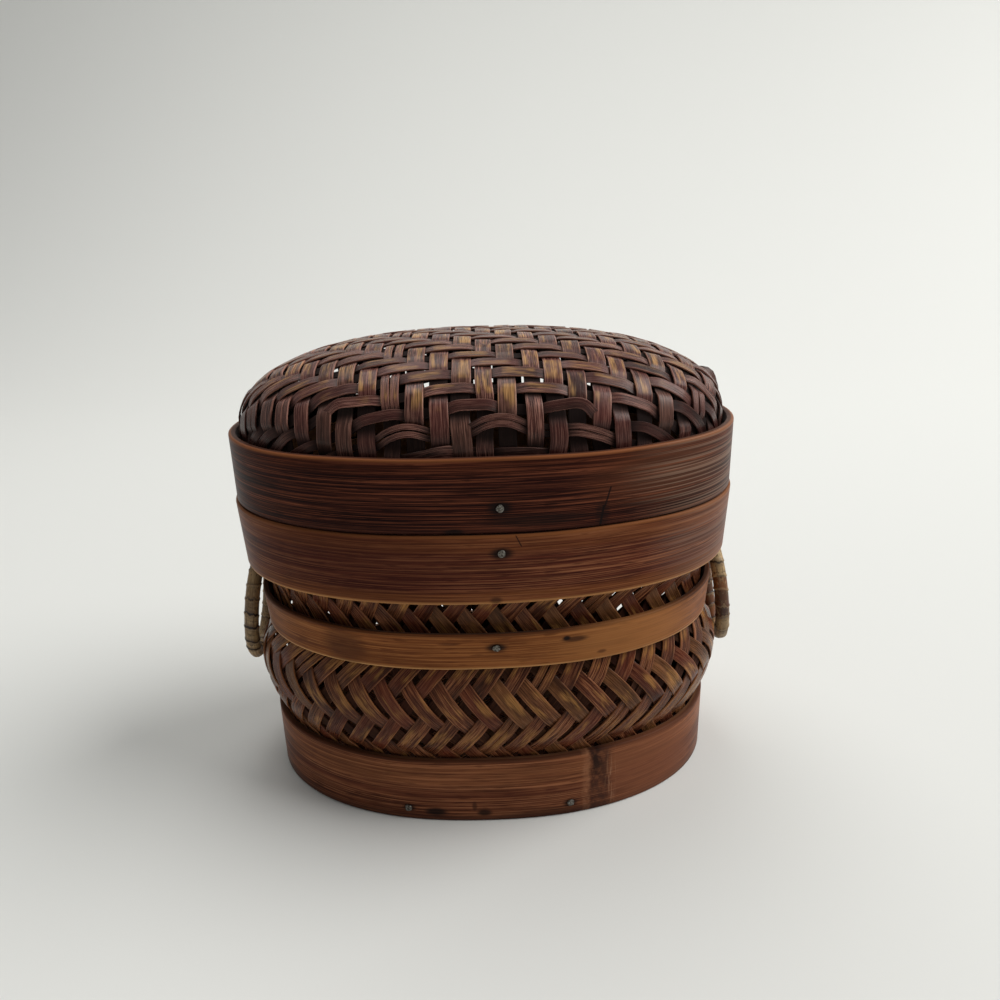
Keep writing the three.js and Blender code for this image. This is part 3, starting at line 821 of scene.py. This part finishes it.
def root_bamboo():
    """Bamboo root: uneven joints with a dark groove, each length its own brown or olive, mottled."""
    look = Shader("root_bamboo", Specular_IOR_Level=0.3)
    away, tint, turn = look.split(look.attribute("joint")["Vector"])
    gone = look.attribute("gone")["Fac"]
    streaks = look.streaks(gone, 160.0, turn, 5.0, tint, 4.0)
    mottle = look.streaks(gone, 420.0, turn, 1.6, tint, 2.0)
    specks = look.streaks(gone, 800.0, turn, 2.4, tint, 2.0)
    waver = look.streaks(gone, 90.0, turn, 1.2, 2.0, 2.0)
    strength = look.ease(look.streaks(gone, 130.0, turn, 0.2, 9.0, 1.0), 0.4, 0.6, 0.25, 1.0)
    khaki, olive, tan, brown = (194, 163, 117), (130, 104, 72), (134, 82, 44), (70, 38, 27)
    look.paint(look.ramp(tint, [(0.0, khaki), (0.4, olive), (0.62, khaki), (0.78, tan), (1.0, brown)]))
    look.mark((80, 60, 40), look.ease(streaks, 0.42, 0.72, 0.0, 0.6))
    look.mark((172, 146, 106), look.ease(mottle, 0.52, 0.66, 0.0, 0.5))
    look.mark((52, 38, 28), look.ease(specks, 0.56, 0.68, 0.0, 0.75))
    joint = look.plus(away, look.times(look.less(waver, 0.5), 2.4 * MM))
    look.mark((72, 48, 34), look.line(joint, 0.0, 1.7 * MM), strength, 0.55)
    look.mark((176, 150, 112), look.line(joint, 0.6 * MM, 0.45 * MM), 0.3)
    look.mark((40, 27, 21), look.line(joint, 0.0, 0.45 * MM), strength)
    look.finish(look.ease(streaks, 0.3, 0.7, 0.36, 0.55), streaks, 0.35)
    return look


def tack_steel():
    """Dull tack heads: hammered grey with rust in the pits."""
    look = Shader("tack_steel", Metallic=0.85)
    x, y, z = look.split(look.add("ShaderNodeTexCoord", {}).outputs["Object"])
    pit_scale = 1900.0
    pits = look.streaks(x, pit_scale, y, pit_scale, look.times(z, pit_scale))
    look.paint(look.ramp(pits, [(0.34, (44, 36, 31)), (0.5, (98, 94, 87)), (0.7, (148, 146, 140))]))
    look.finish(look.ease(pits, 0.3, 0.7, 0.6, 0.34), pits, 0.6)
    return look


# The darkest colour of each cane, laid where its strips dip under others, is painted shade.
body_cane = cane(
    "body_cane", tones=((40, 18, 11), (94, 49, 31), (164, 108, 72)), gold=(178, 126, 68), gold_share=0.75,
    olive=(110, 76, 42), red=(92, 38, 25), dust_and_painted_light=(32, 15, 10), painted_shade=0.8, gloss=0.13)
lid_cane = cane(
    "lid_cane", tones=((26, 11, 10), (79, 41, 36), (178, 128, 111)), gold=(194, 146, 86), gold_share=0.75,
    olive=(88, 60, 49), red=(80, 36, 34), dust_and_painted_light=(15, 6, 6), painted_shade=0.96, gloss=0.2)
tie_cane = cane(
    "tie_cane", tones=((46, 31, 24), (84, 60, 44), (116, 88, 62)), gold=(140, 104, 60), gold_share=0.5,
    olive=(84, 66, 42), red=(78, 48, 34), dust_and_painted_light=(40, 26, 20), painted_shade=0.6, gloss=0.2)


# Woven body
def bias_strips(name, lean, phase, seed):
    """One family of strips that climb the wall on a slant; lean is 1 up to the right, -1 up to the left."""
    strips = Strips(seed)
    chance = strips.chance
    steps = int(wall_arc[-1] / BIAS_STEP)
    climbed = np.linspace(0, wall_arc[-1], steps)
    rows = (climbed - turn_arc) / BIAS_ROW
    beat = np.sin(math.pi * rows)
    over = -lean * np.tanh(CROSSING_SHARPNESS * beat) / math.tanh(CROSSING_SHARPNESS)
    # Wear is high on the floats and low where the strip dips under, where the cane paints shade.
    wear_and_shade = 0.5 - 0.5 * lean * beat
    for index in range(BIAS_STRIPS):
        wander = strips.wave(BODY_WANDER, steps) + chance.uniform(-BODY_SHIFT, BODY_SHIFT)
        share = (index + phase + lean * rows) / BIAS_STRIPS + wander / belly_perimeter
        middle, normals = wall_frame(share, climbed)
        relief = BIAS_RELIEF * chance.uniform(*BODY_RELIEF_SPREAD)
        path = middle + normals * (over * relief)[:, None]
        width = BIAS_WIDTH * chance.uniform(*BODY_WIDTH_SPREAD) + strips.wave(BODY_WIDTH_WANDER, steps)
        roll = chance.uniform(-BODY_ROLL, BODY_ROLL)
        if chance.random() < BODY_SPLIT_SHARE:
            strips.split_ribbon(path, normals, BIAS_WIDTH, BIAS_THICKNESS, wear_and_shade, roll)
        else:
            strips.ribbon(path, normals, width, BIAS_THICKNESS, wear_and_shade, roll=roll)
    strips.build(name, body_cane, "box", "body_weave")


def floor_strips():
    """Woven floor: two families of straight strips on the slant, trimmed to the foot."""
    strips = Strips(31)
    half = foot_oval - FLOOR_MARGIN
    height = FLOOR_HEIGHT + WEAVE_THICKNESS / 2
    reach = float(np.hypot(*half))
    count = int(reach / FLOOR_PITCH)
    run = np.linspace(-reach, reach, FLOOR_STEPS)
    for lean in (1, -1):
        along = unit(np.array([1.0, lean]))
        sideways = np.array([-along[1], along[0]])
        for index in range(-count, count + 1):
            plan = sideways * index * FLOOR_PITCH + along * run[:, None]
            inside = (np.abs(plan / half) ** PLAN_EXPONENT).sum(axis=1) < 1
            if inside.sum() < FLOOR_LEAST_STEPS:
                continue
            beat = (run / FLOOR_PITCH * lean + index + 0.5) / 4
            over = lean * np.tanh(CROSSING_SHARPNESS * np.sin(FULL_TURN * beat))
            path = np.column_stack([plan, height + over * FLOOR_RELIEF])[inside]
            normals = np.broadcast_to((0.0, 0.0, 1.0), path.shape)
            width = FLOOR_PITCH * strips.chance.uniform(*FLOOR_WIDTH_SPREAD)
            # Wear is lower where a strip dips, and the cane paints shade there.
            strips.ribbon(path, normals, width, BIAS_THICKNESS, 0.5 + 0.3 * over[inside])
    strips.build("floor_strips", body_cane, "box", "body_weave")


# Woven lid
def plan_level(plan):
    """How far out towards the rim each plan point is, from 0 at the crown to 1."""
    return (np.abs(plan / dome_oval) ** PLAN_EXPONENT).sum(axis=-1) ** (1 / PLAN_EXPONENT)


def crowded(count):
    """Numbers from 0 to 1 that crowd towards 1, where the dome is steep."""
    return 1 - (1 - np.linspace(0, 1, count)) ** 3


def half_section(x):
    """The dome cut across at x: points from the ridge down to the rim and on down inside the band."""
    room = max(1 - abs(x / dome_oval[0]) ** PLAN_EXPONENT, 0)
    reach = dome_oval[1] * room ** (1 / PLAN_EXPONENT)
    plan = np.column_stack([np.full(SECTION_STEPS, x), -reach * crowded(SECTION_STEPS)])
    rise = np.maximum(1 - plan_level(plan) ** DOME_SHOULDER, 0)
    rise[-1] = 0
    dome = np.column_stack([plan, dome_base + dome_rise * rise ** (1 / DOME_CROWN)])
    drop = np.linspace(0, SKIRT_DEPTH, SKIRT_STEPS)[1:]
    outward = oval_normals(dome_oval, plan[-1]) * (drop / SKIRT_DEPTH * DOME_INSET)[:, None]
    skirt = np.column_stack([plan[-1] + outward, dome_base - drop])
    return np.concatenate([dome, skirt])


def mirrored(half, axis):
    """A whole path from one half of it, the other half mirrored."""
    other = half[:0:-1].copy()
    other[:, axis] *= -1
    return np.concatenate([other, half])


section_x = dome_oval[0] * crowded(SECTION_COUNT)
sections = [half_section(x) for x in section_x]
section_lengths = [lengths_along(points) for points in sections]


def cross_path(distance):
    """A strip from end to end that keeps its distance from the ridge, measured down the dome."""
    half = []
    for points, lengths in zip(sections, section_lengths):
        if abs(distance) > lengths[-1]:
            break
        half.append([np.interp(abs(distance), lengths, column) for column in points.T])
    half = np.array(half)
    deepest = dome_base - SKIRT_DEPTH
    if half[-1, 2] > deepest:
        tail = np.repeat(half[-1:], TAIL_STEPS, axis=0)
        tail[:, 2] = np.linspace(half[-1, 2], deepest, TAIL_STEPS + 1)[1:]
        half = np.concatenate([half, tail])
    if distance > 0:
        half[:, 1] *= -1
    return mirrored(half, 0)


def dome_normals(points):
    tiny = 1e-6
    plan = points[:, :2] / dome_oval
    level = np.maximum(plan_level(points[:, :2]), tiny)
    rise = np.clip((points[:, 2] - dome_base) / dome_rise, 0, 1)
    slope = DOME_SHOULDER * level ** (DOME_SHOULDER - PLAN_EXPONENT)
    flat = slope[:, None] * signed_power(plan, PLAN_EXPONENT - 1) / dome_oval
    upward = DOME_CROWN * rise ** (DOME_CROWN - 1) / dome_rise
    return unit(np.column_stack([flat, upward + tiny]))


def ridge_places():
    """Index and x of each strip from back to front, at even distances along the ridge."""
    lengths = lengths_along(np.array([points[0] for points in sections]))
    most = int(lengths[-1] / LONG_PITCH) + 1
    places = {}
    for index in range(-most, most + 1):
        where = index * LONG_PITCH + LONG_OFFSET
        if abs(where) < lengths[-1] - LONG_END_ROOM:
            places[index] = math.copysign(np.interp(abs(where), lengths, section_x), where)
    return places


def across_places():
    """Index and distance from the ridge of each strip from end to end, wider apart near the rim."""
    rim = section_lengths[0][-1] - SKIRT_DEPTH
    most = int(rim / CROSS_PITCH)
    places = {}
    for index in range(-most, most + 1):
        late = max(abs(index) - CROSS_SPREAD_FROM, 0)
        where = abs(index) * CROSS_PITCH + late * CROSS_SPREAD + late**2 * CROSS_SPREAD_MORE
        if where < rim:
            places[index] = math.copysign(where, index)
    return places


long_places = ridge_places()
cross_places = across_places()


def twill(long_index, cross_index):
    """1 where the strip from back to front is on top, -1 where it is below: over two and under two."""
    return 1.0 if (long_index + cross_index) % 4 in (0, 3) else -1.0


def weave_over(gone, knots, sides):
    """Rise and fall along a strip: 1 over a crossing strip and -1 under it, joined by half cosine waves."""
    if len(knots) < 2:
        return np.zeros(len(gone))
    knots = np.array(knots)
    sides = np.array(sides)
    index = np.clip(np.searchsorted(knots, gone) - 1, 0, len(knots) - 2)
    share = np.clip((gone - knots[index]) / (knots[index + 1] - knots[index]), 0, 1)
    return sides[index] + (sides[index + 1] - sides[index]) * (1 - np.cos(share * math.pi)) / 2


def lay_lid_strip(strips, points, over, width, gilding, arch=0.0, slim=0.0, sprung=()):
    """One strip of the lid along its path, with the small faults of handwork, looser near the rim."""
    chance = strips.chance
    normals = dome_normals(points)
    height = points[:, 2] - dome_base
    loose = smooth_step(plan_level(points[:, :2]), LOOSE_FROM, LOOSE_TO)
    loose = loose * smooth_step(height, 0, LOOSE_ABOVE)
    relief = LID_RELIEF * (1 + chance.uniform(*LOOSE_RELIEF_SPREAD) * loose * (over > 0))
    sag = strips.wave(LID_WANDER, LID_STEPS) + chance.uniform(-LID_SHIFT, LID_SHIFT)
    sag = sag + strips.wave(LOOSE_WANDER, LID_STEPS, LOOSE_WAVES) * loose
    lift = over * relief - WEAVE_THICKNESS / 2
    climb = arch * loose * over
    roll = np.zeros(LID_STEPS)
    rubbed = np.zeros(LID_STEPS)
    for place, reach, rise, higher, twist in sprung:
        near = np.exp(-(((points[:, 0] / MM - place) / reach) ** 2))
        lift = lift + rise * MM * near
        climb = climb + higher * MM * near
        roll = roll + twist * near
        rubbed = np.maximum(rubbed, SPRUNG_WEAR * near)
    across = unit(np.cross(unit(np.gradient(points, axis=0)), normals))
    sag = sag + climb * np.sign(across[:, 2])
    path = points + normals * lift[:, None] + across * sag[:, None]
    # Wear drops near the rim and in the dips, where the cane paints shade.
    wear_and_shade_scale = RIM_WEAR_AND_SHADE + (gilding - RIM_WEAR_AND_SHADE) * smooth_step(height, WEAR_AND_SHADE_FROM, WEAR_AND_SHADE_TO)
    wear_and_shade = np.maximum((0.5 + 0.5 * over) * wear_and_shade_scale, rubbed)
    roll = roll + chance.uniform(-LID_ROLL, LID_ROLL)
    if chance.random() < LID_SPLIT_SHARE:
        strips.split_ribbon(path, normals, width, LID_STRIP_THICKNESS, wear_and_shade, roll)
    else:
        slimmed = width * chance.uniform(*LID_WIDTH_SPREAD) * (1 - slim * loose)
        slimmed = slimmed + strips.wave(LID_WIDTH_WANDER, LID_STEPS)
        strips.ribbon(path, normals, slimmed, LID_STRIP_THICKNESS, wear_and_shade, roll=roll)


def lid_long_strips():
    strips = Strips(13)
    for index, x in long_places.items():
        points, gone = evenly(mirrored(half_section(x), 1)[::-1], LID_STEPS)
        middle = gone[-1] / 2
        reach = middle - SKIRT_DEPTH + CROSS_PITCH
        crossed = [other for other, where in cross_places.items() if abs(where) < reach]
        knots = [middle + cross_places[other] for other in crossed]
        sides = [twill(index, other) for other in crossed]
        lay_lid_strip(strips, points, weave_over(gone, knots, sides), LONG_WIDTH, LONG_GILDING)
    strips.build("lid_long_strips", lid_cane, "lid", "lid_weave")


def lid_cross_strips():
    strips = Strips(14)
    for index, where in cross_places.items():
        points, gone = evenly(cross_path(where), LID_STEPS)
        reach = points[:, 0].max()
        crossed = [other for other, x in long_places.items() if abs(x) < reach]
        knots = [np.interp(long_places[other], points[:, 0], gone) for other in crossed]
        sides = [-twill(other, index) for other in crossed]
        over = weave_over(gone, knots, sides)
        sprung = [row[1:] for row in SPRUNG if row[0] == index]
        lay_lid_strip(strips, points, over, CROSS_WIDTH, CROSS_GILDING, RIM_ARCH, RIM_SLIM, sprung)
    strips.build("lid_cross_strips", lid_cane, "lid", "lid_weave")


# Bent hoops
def hoop_profile(height, thickness):
    """Cross-section of a strip: depth behind its face and height, with rounded corners."""
    back = thickness - INNER_ROUND
    face = np.linspace(OUTER_ROUND, height - OUTER_ROUND, HOOP_ROWS)[1:-1]
    inner = np.linspace(height - INNER_ROUND, INNER_ROUND, HOOP_ROWS)[1:-1]
    return np.concatenate([
        np.column_stack([np.zeros(len(face)), face]),
        arc(OUTER_ROUND, height - OUTER_ROUND, OUTER_ROUND, 180, 90, CORNER_STEPS),
        arc(back, height - INNER_ROUND, INNER_ROUND, 90, 0, CORNER_STEPS),
        np.column_stack([np.full(len(inner), thickness), inner]),
        arc(back, INNER_ROUND, INNER_ROUND, 0, -90, CORNER_STEPS),
        arc(OUTER_ROUND, OUTER_ROUND, OUTER_ROUND, -90, -180, CORNER_STEPS),
    ])


def uneven(share, waves, phases):
    return sum(np.sin(FULL_TURN * share * wave + phase) for wave, phase in zip(waves, phases))


def hoop(node, body, look, thickness, seed, joint=0.5, slant=0.0, lift=0.0):
    """A strip bent into a hoop; its ends meet at a share of the way round, slanted, one standing proud."""
    chance = random.Random(seed)
    phases = [chance.uniform(0, FULL_TURN) for _ in range(4)]
    low, high = hoop_ovals(node)
    bottom, top = span_z(node)
    height = top - bottom
    depth, rise = hoop_profile(height, thickness).T
    up = rise / height
    half = low + (high - low) * np.clip(up, 0, 1)[:, None] - depth[:, None]
    perimeter = belly_perimeter * (low + high).mean() / 2 / belly_oval.mean()
    gap = HOOP_END_GAP / perimeter
    share = np.linspace(gap, 1 - gap, HOOP_STEPS)[:, None]
    lean = slant / perimeter * (up - 0.5) * smooth_step(np.abs(share - 0.5), *LAP_SLANT_FADE)
    where = joint - 1 + share + lean
    plan = oval_points(half, angle_at(where))
    swell = HOOP_SWELL * uneven(share, HOOP_SWELL_WAVES, phases[:2])
    swell = swell + lift * smooth_step(share, *LAP_LIFT_FADE)
    edge = HOOP_EDGE * uneven(share, HOOP_EDGE_WAVES, phases[2:])
    flat = plan + oval_normals(half, plan) * swell[..., None]
    z = bottom + rise + edge * np.clip(up * 2 - 1, 0, 1)
    faces = tube_faces(HOOP_STEPS, len(rise), flipped=True)
    places = np.stack(np.broadcast_arrays(where * perimeter, rise, depth / thickness), axis=-1)
    points = np.concatenate([flat, z[..., None]], axis=-1)
    made = smooth_mesh(node + "_strip", points, faces, look, crease=50, hoop=places)
    belongs(made, body, node)


def hoops():
    inner = inner_bamboo()
    hoop("lid_band", "lid", dark_bamboo(), LID_BAND_THICKNESS, 3, slant=LID_LAP_SLANT, lift=LID_LAP_LIFT)
    hoop("rim_band", "box", red_bamboo(), RIM_BAND_THICKNESS, 5)
    hoop("mid_band", "box", tan_bamboo(), MID_BAND_THICKNESS, 7)
    hoop("foot_band", "box", brown_bamboo(), FOOT_BAND_THICKNESS, 9)
    hoop("rim_collar", "box", inner, COLLAR_THICKNESS, 20, joint=INNER_JOINT)
    hoop("foot_hoop", "box", inner, FOOT_HOOP_THICKNESS, 21, joint=INNER_JOINT)
    hoop("lid_hoop", "lid", inner, LID_HOOP_THICKNESS, 22, joint=INNER_JOINT)


# Ring handles
def ring_line(half, count):
    """Centre line of an oval ring that hangs from the middle of its top bar: across and down."""
    angle = np.linspace(0, FULL_TURN, RING_LINE_STEPS + 1)
    down = (RING_DROP - RING_THICKNESS) / 2 * (np.cos(angle) - 1)
    points, gone = evenly(np.column_stack([half * np.sin(angle), down]), count + 1)
    return points[:-1], gone[:-1], gone[-1]


def ring(side, turn, tints, look, seed):
    """A bamboo root bent into a drop ring, with close joints that slant a little."""
    chance = random.Random(seed)
    line, gone, length = ring_line((RING_WIDTHS[side] - RING_THICKNESS) / 2, RING_STEPS)
    joints = []
    where = chance.uniform(*JOINT_FIRST) * MM
    while where < length - JOINT_LAST_GAP:
        joints.append(where)
        where += chance.uniform(*JOINT_SPACING) * MM
    joints = np.array(joints)
    slants = np.array([chance.uniform(*JOINT_SLANT_SPREAD) * JOINT_SLANT for _ in joints])
    facing = np.array([chance.uniform(0, FULL_TURN) for _ in joints])
    tint_of = np.array(tints)[(joints / length * len(tints)).astype(int)]
    along = loop_directions(line)
    angle = np.linspace(0, FULL_TURN, RING_SIDES, endpoint=False)
    away = gone[:, None, None] - joints + slants * np.cos(angle[None, :, None] - facing)
    away = (away + length / 2) % length - length / 2
    nearest = np.abs(away).argmin(axis=2)
    signed = np.take_along_axis(away, nearest[..., None], axis=2)[..., 0]
    passed = np.where(away >= 0, away, 1.0).argmin(axis=2)
    ridge = JOINT_RIDGE * np.exp(-((signed - JOINT_RIDGE_PLACE) / JOINT_RIDGE_WIDTH) ** 2)
    groove = JOINT_GROOVE * np.exp(-(signed / JOINT_GROOVE_WIDTH) ** 2)
    radius = RING_THICKNESS / 2 - JOINT_RIDGE + ridge - groove
    outward = radius * np.cos(angle)
    y = line[:, 0, None] - along[:, 1, None] * outward
    z = line[:, 1, None] + along[:, 0, None] * outward
    points = np.stack([radius * np.sin(angle), y, z], axis=-1)
    folded = np.abs(math.pi - angle)
    layers = {
        "joint": np.stack(np.broadcast_arrays(signed, tint_of[passed], folded), axis=-1),
        "gone": np.broadcast_to(gone[:, None], signed.shape),
    }
    node = side + "_ring"
    body = side + "_handle"
    low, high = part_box(node)
    axis = Vector(next(joint for joint in frame["joints"] if joint["child"] == body)["pos_m"])
    furthest = max(abs(low.x), abs(high.x)) - RING_THICKNESS / 2
    tilt = math.asin((furthest - abs(axis.x)) / (RING_DROP - RING_THICKNESS))
    place = Matrix.Translation(axis) @ Matrix.Rotation(turn, 4, "Z") @ Matrix.Rotation(-tilt, 4, "Y")
    faces = tube_faces(RING_STEPS, RING_SIDES, closed=True)
    made = smooth_mesh(side + "_root_ring", points, faces, look, crease=60, place=place, **layers)
    belongs(made, body, node)


def tie(side, turn, seed):
    """Flat cane through the wall and round the ring's top bar, in two strands."""
    strips = Strips(seed)
    node = side + "_loop"
    low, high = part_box(node)
    near, far = sorted((abs(low.x), abs(high.x)))
    straight = (high.z - low.z - TIE_THICKNESS) / 2 - TIE_CORNER
    left = near + TIE_THICKNESS / 2 + TIE_CORNER
    right = far - TIE_THICKNESS / 2 - TIE_CORNER
    corners = [(right, -straight, -90), (right, straight, 0), (left, straight, 90), (left, -straight, 180)]
    outline = [arc(x, z, TIE_CORNER, start, start + 90, TIE_CORNER_STEPS) for x, z, start in corners]
    flat = evenly(np.concatenate([*outline, outline[0][:1]]), TIE_STEPS + 1)[0][:-1]
    path = np.column_stack([flat[:, 0], np.zeros(TIE_STEPS), flat[:, 1]])
    normals = np.cross(loop_directions(path), np.array([0.0, 1.0, 0.0]))
    span = high.y - low.y
    centre = np.array([0.0, 0.0, (low.z + high.z) / 2])
    spin = np.array(Matrix.Rotation(turn, 3, "Z"))
    wear_and_shade = np.full(TIE_STEPS, TIE_WEAR)
    width = span * TIE_STRAND_WIDTH
    for shift in TIE_STRANDS:
        strand = (path + np.array([0.0, shift * span, 0.0])) @ spin.T + centre
        strips.ribbon(strand, normals @ spin.T, width, TIE_STRAND_THICKNESS, wear_and_shade, closed=True)
    strips.build(side + "_tie", tie_cane, "box", node)


# Tacks
def tack(node, body, band, where, look, seed):
    """A hammered tack head on the face of its band, square to it, with the start of its shank."""
    chance = random.Random(seed)
    dents = [chance.uniform(-TACK_DENT, TACK_DENT) for _ in range(4)]
    bottom, top = span_z(band)
    oval_low, oval_high = hoop_ovals(band)
    x, rise = where[0] * MM, where[1] * MM
    half = oval_low + (oval_high - oval_low) * rise / (top - bottom)
    y = -half[1] * (1 - (abs(x) / half[0]) ** PLAN_EXPONENT) ** (1 / PLAN_EXPONENT)
    flat = oval_normals(half, np.array([x, y]))
    lean = math.atan2(oval_high[1] - oval_low[1], top - bottom)
    outward = Vector((flat[0] * math.cos(lean), flat[1] * math.cos(lean), -math.sin(lean)))
    radii, heights = np.array([
        (TACK_SHANK, -TACK_DEPTH),
        (TACK_SHANK, 0.1 * MM),
        (TACK_HEAD * 0.97, 0.1 * MM),
        (TACK_HEAD, 0.22 * MM),
        (TACK_HEAD * 0.9, 0.45 * MM),
        (TACK_HEAD * 0.62, TACK_RISE),
        (TACK_HEAD * 0.3, TACK_RISE + 0.08 * MM),
    ]).T
    angle = np.linspace(0, FULL_TURN, TACK_SIDES, endpoint=False)
    dented = 1 + sum(size * np.cos((lobe + 1) * angle) for lobe, size in enumerate(dents))
    reach = radii[:, None] * dented
    sides = reach * np.cos(angle), reach * np.sin(angle), heights[:, None]
    points = np.stack(np.broadcast_arrays(*sides), axis=-1)
    faces = tube_faces(len(radii), TACK_SIDES)
    turn = outward.to_track_quat("Z", "Y").to_matrix().to_4x4()
    place = Matrix.Translation((x, y, bottom + rise)) @ turn
    made = smooth_mesh(node + "_head", points, faces, look, crease=50, place=place)
    belongs(made, body, node)


def tacks():
    steel = tack_steel()
    tack("lid_tack", "lid", "lid_band", LID_TACK, steel, 41)
    tack("rim_tack", "box", "rim_band", RIM_TACK, steel, 42)
    tack("mid_tack", "box", "mid_band", MID_TACK, steel, 43)
    tack("foot_tack_left", "box", "foot_band", FOOT_TACK_LEFT, steel, 44)
    tack("foot_tack_right", "box", "foot_band", FOOT_TACK_RIGHT, steel, 45)


# Studio
def camera():
    data = bpy.data.cameras.new("camera")
    data.lens = CAMERA_LENS
    data.sensor_width = 36.0
    data.clip_start = 0.01
    data.clip_end = 20.0
    made = bpy.data.objects.new("camera", data)
    turn = CAMERA_AIM.to_track_quat("-Z", "Y").to_matrix().to_4x4()
    made.matrix_world = Matrix.Translation(CAMERA_PLACE) @ turn @ Matrix.Rotation(CAMERA_ROLL, 4, "Z")
    bpy.context.scene.collection.objects.link(made)
    bpy.context.scene.camera = made


def floor():
    """A pale table top that curves up behind into a backdrop."""
    curve = arc(SWEEP_REACH - SWEEP_CORNER, SWEEP_CORNER, SWEEP_CORNER, -90, 0, SWEEP_STEPS)
    profile = [(-SWEEP_REACH, 0.0), (0.0, 0.0), *curve, (SWEEP_REACH, SWEEP_HEIGHT)]
    points = [(x, y, z) for y, z in profile for x in (-SWEEP_REACH, SWEEP_REACH)]
    faces = [(2 * row, 2 * row + 1, 2 * row + 3, 2 * row + 2) for row in range(len(profile) - 1)]
    paper = Shader("studio_paper", Roughness=0.9, Base_Color=PAPER)
    smooth_mesh("studio_floor", points, faces, paper)


def lamp(name, place, size, power):
    data = bpy.data.lights.new(name, "AREA")
    data.shape = "DISK"
    data.size = size
    data.energy = power
    made = bpy.data.objects.new(name, data)
    made.location = place
    made.rotation_mode = "QUATERNION"
    made.rotation_quaternion = (LAMP_TARGET - Vector(place)).to_track_quat("-Z", "Y")
    bpy.context.scene.collection.objects.link(made)


def world():
    """Soft daylight on the object; the camera and reflections see a plain grey instead."""
    made = bpy.data.worlds.new("studio")
    made.use_nodes = True
    nodes = Nodes(made.node_tree)
    rays = nodes.add("ShaderNodeLightPath", {}).outputs
    seen = nodes.math("MAXIMUM", rays["Is Camera Ray"], rays["Is Glossy Ray"])
    seen = nodes.math("MAXIMUM", seen, rays["Is Transmission Ray"])
    lit = nodes.add("ShaderNodeBackground", {"Color": DAYLIGHT, "Strength": WORLD_STRENGTH}).outputs[0]
    grey = nodes.add("ShaderNodeBackground", {"Color": SURROUND}).outputs[0]
    choice = nodes.add("ShaderNodeMixShader", {0: seen, 1: lit, 2: grey}).outputs[0]
    nodes.put(made.node_tree.nodes["World Output"].inputs["Surface"], choice)
    bpy.context.scene.world = made


camera()
floor()
for lamp_name, settings in LAMPS.items():
    lamp(lamp_name, *settings)
world()
bpy.context.scene.view_settings.view_transform = "Standard"

bias_strips("rising_strips", 1, BIAS_RISING_PHASE, 11)
bias_strips("falling_strips", -1, BIAS_FALLING_PHASE, 12)
floor_strips()
lid_long_strips()
lid_cross_strips()
hoops()
root = root_bamboo()
ring("right", 0.0, FAR_LIMB + NEAR_LIMB, root, 51)
ring("left", math.pi, LEFT_LIMB + LEFT_LIMB, root, 52)
tie("right", 0.0, 61)
tie("left", math.pi, 62)
tacks()
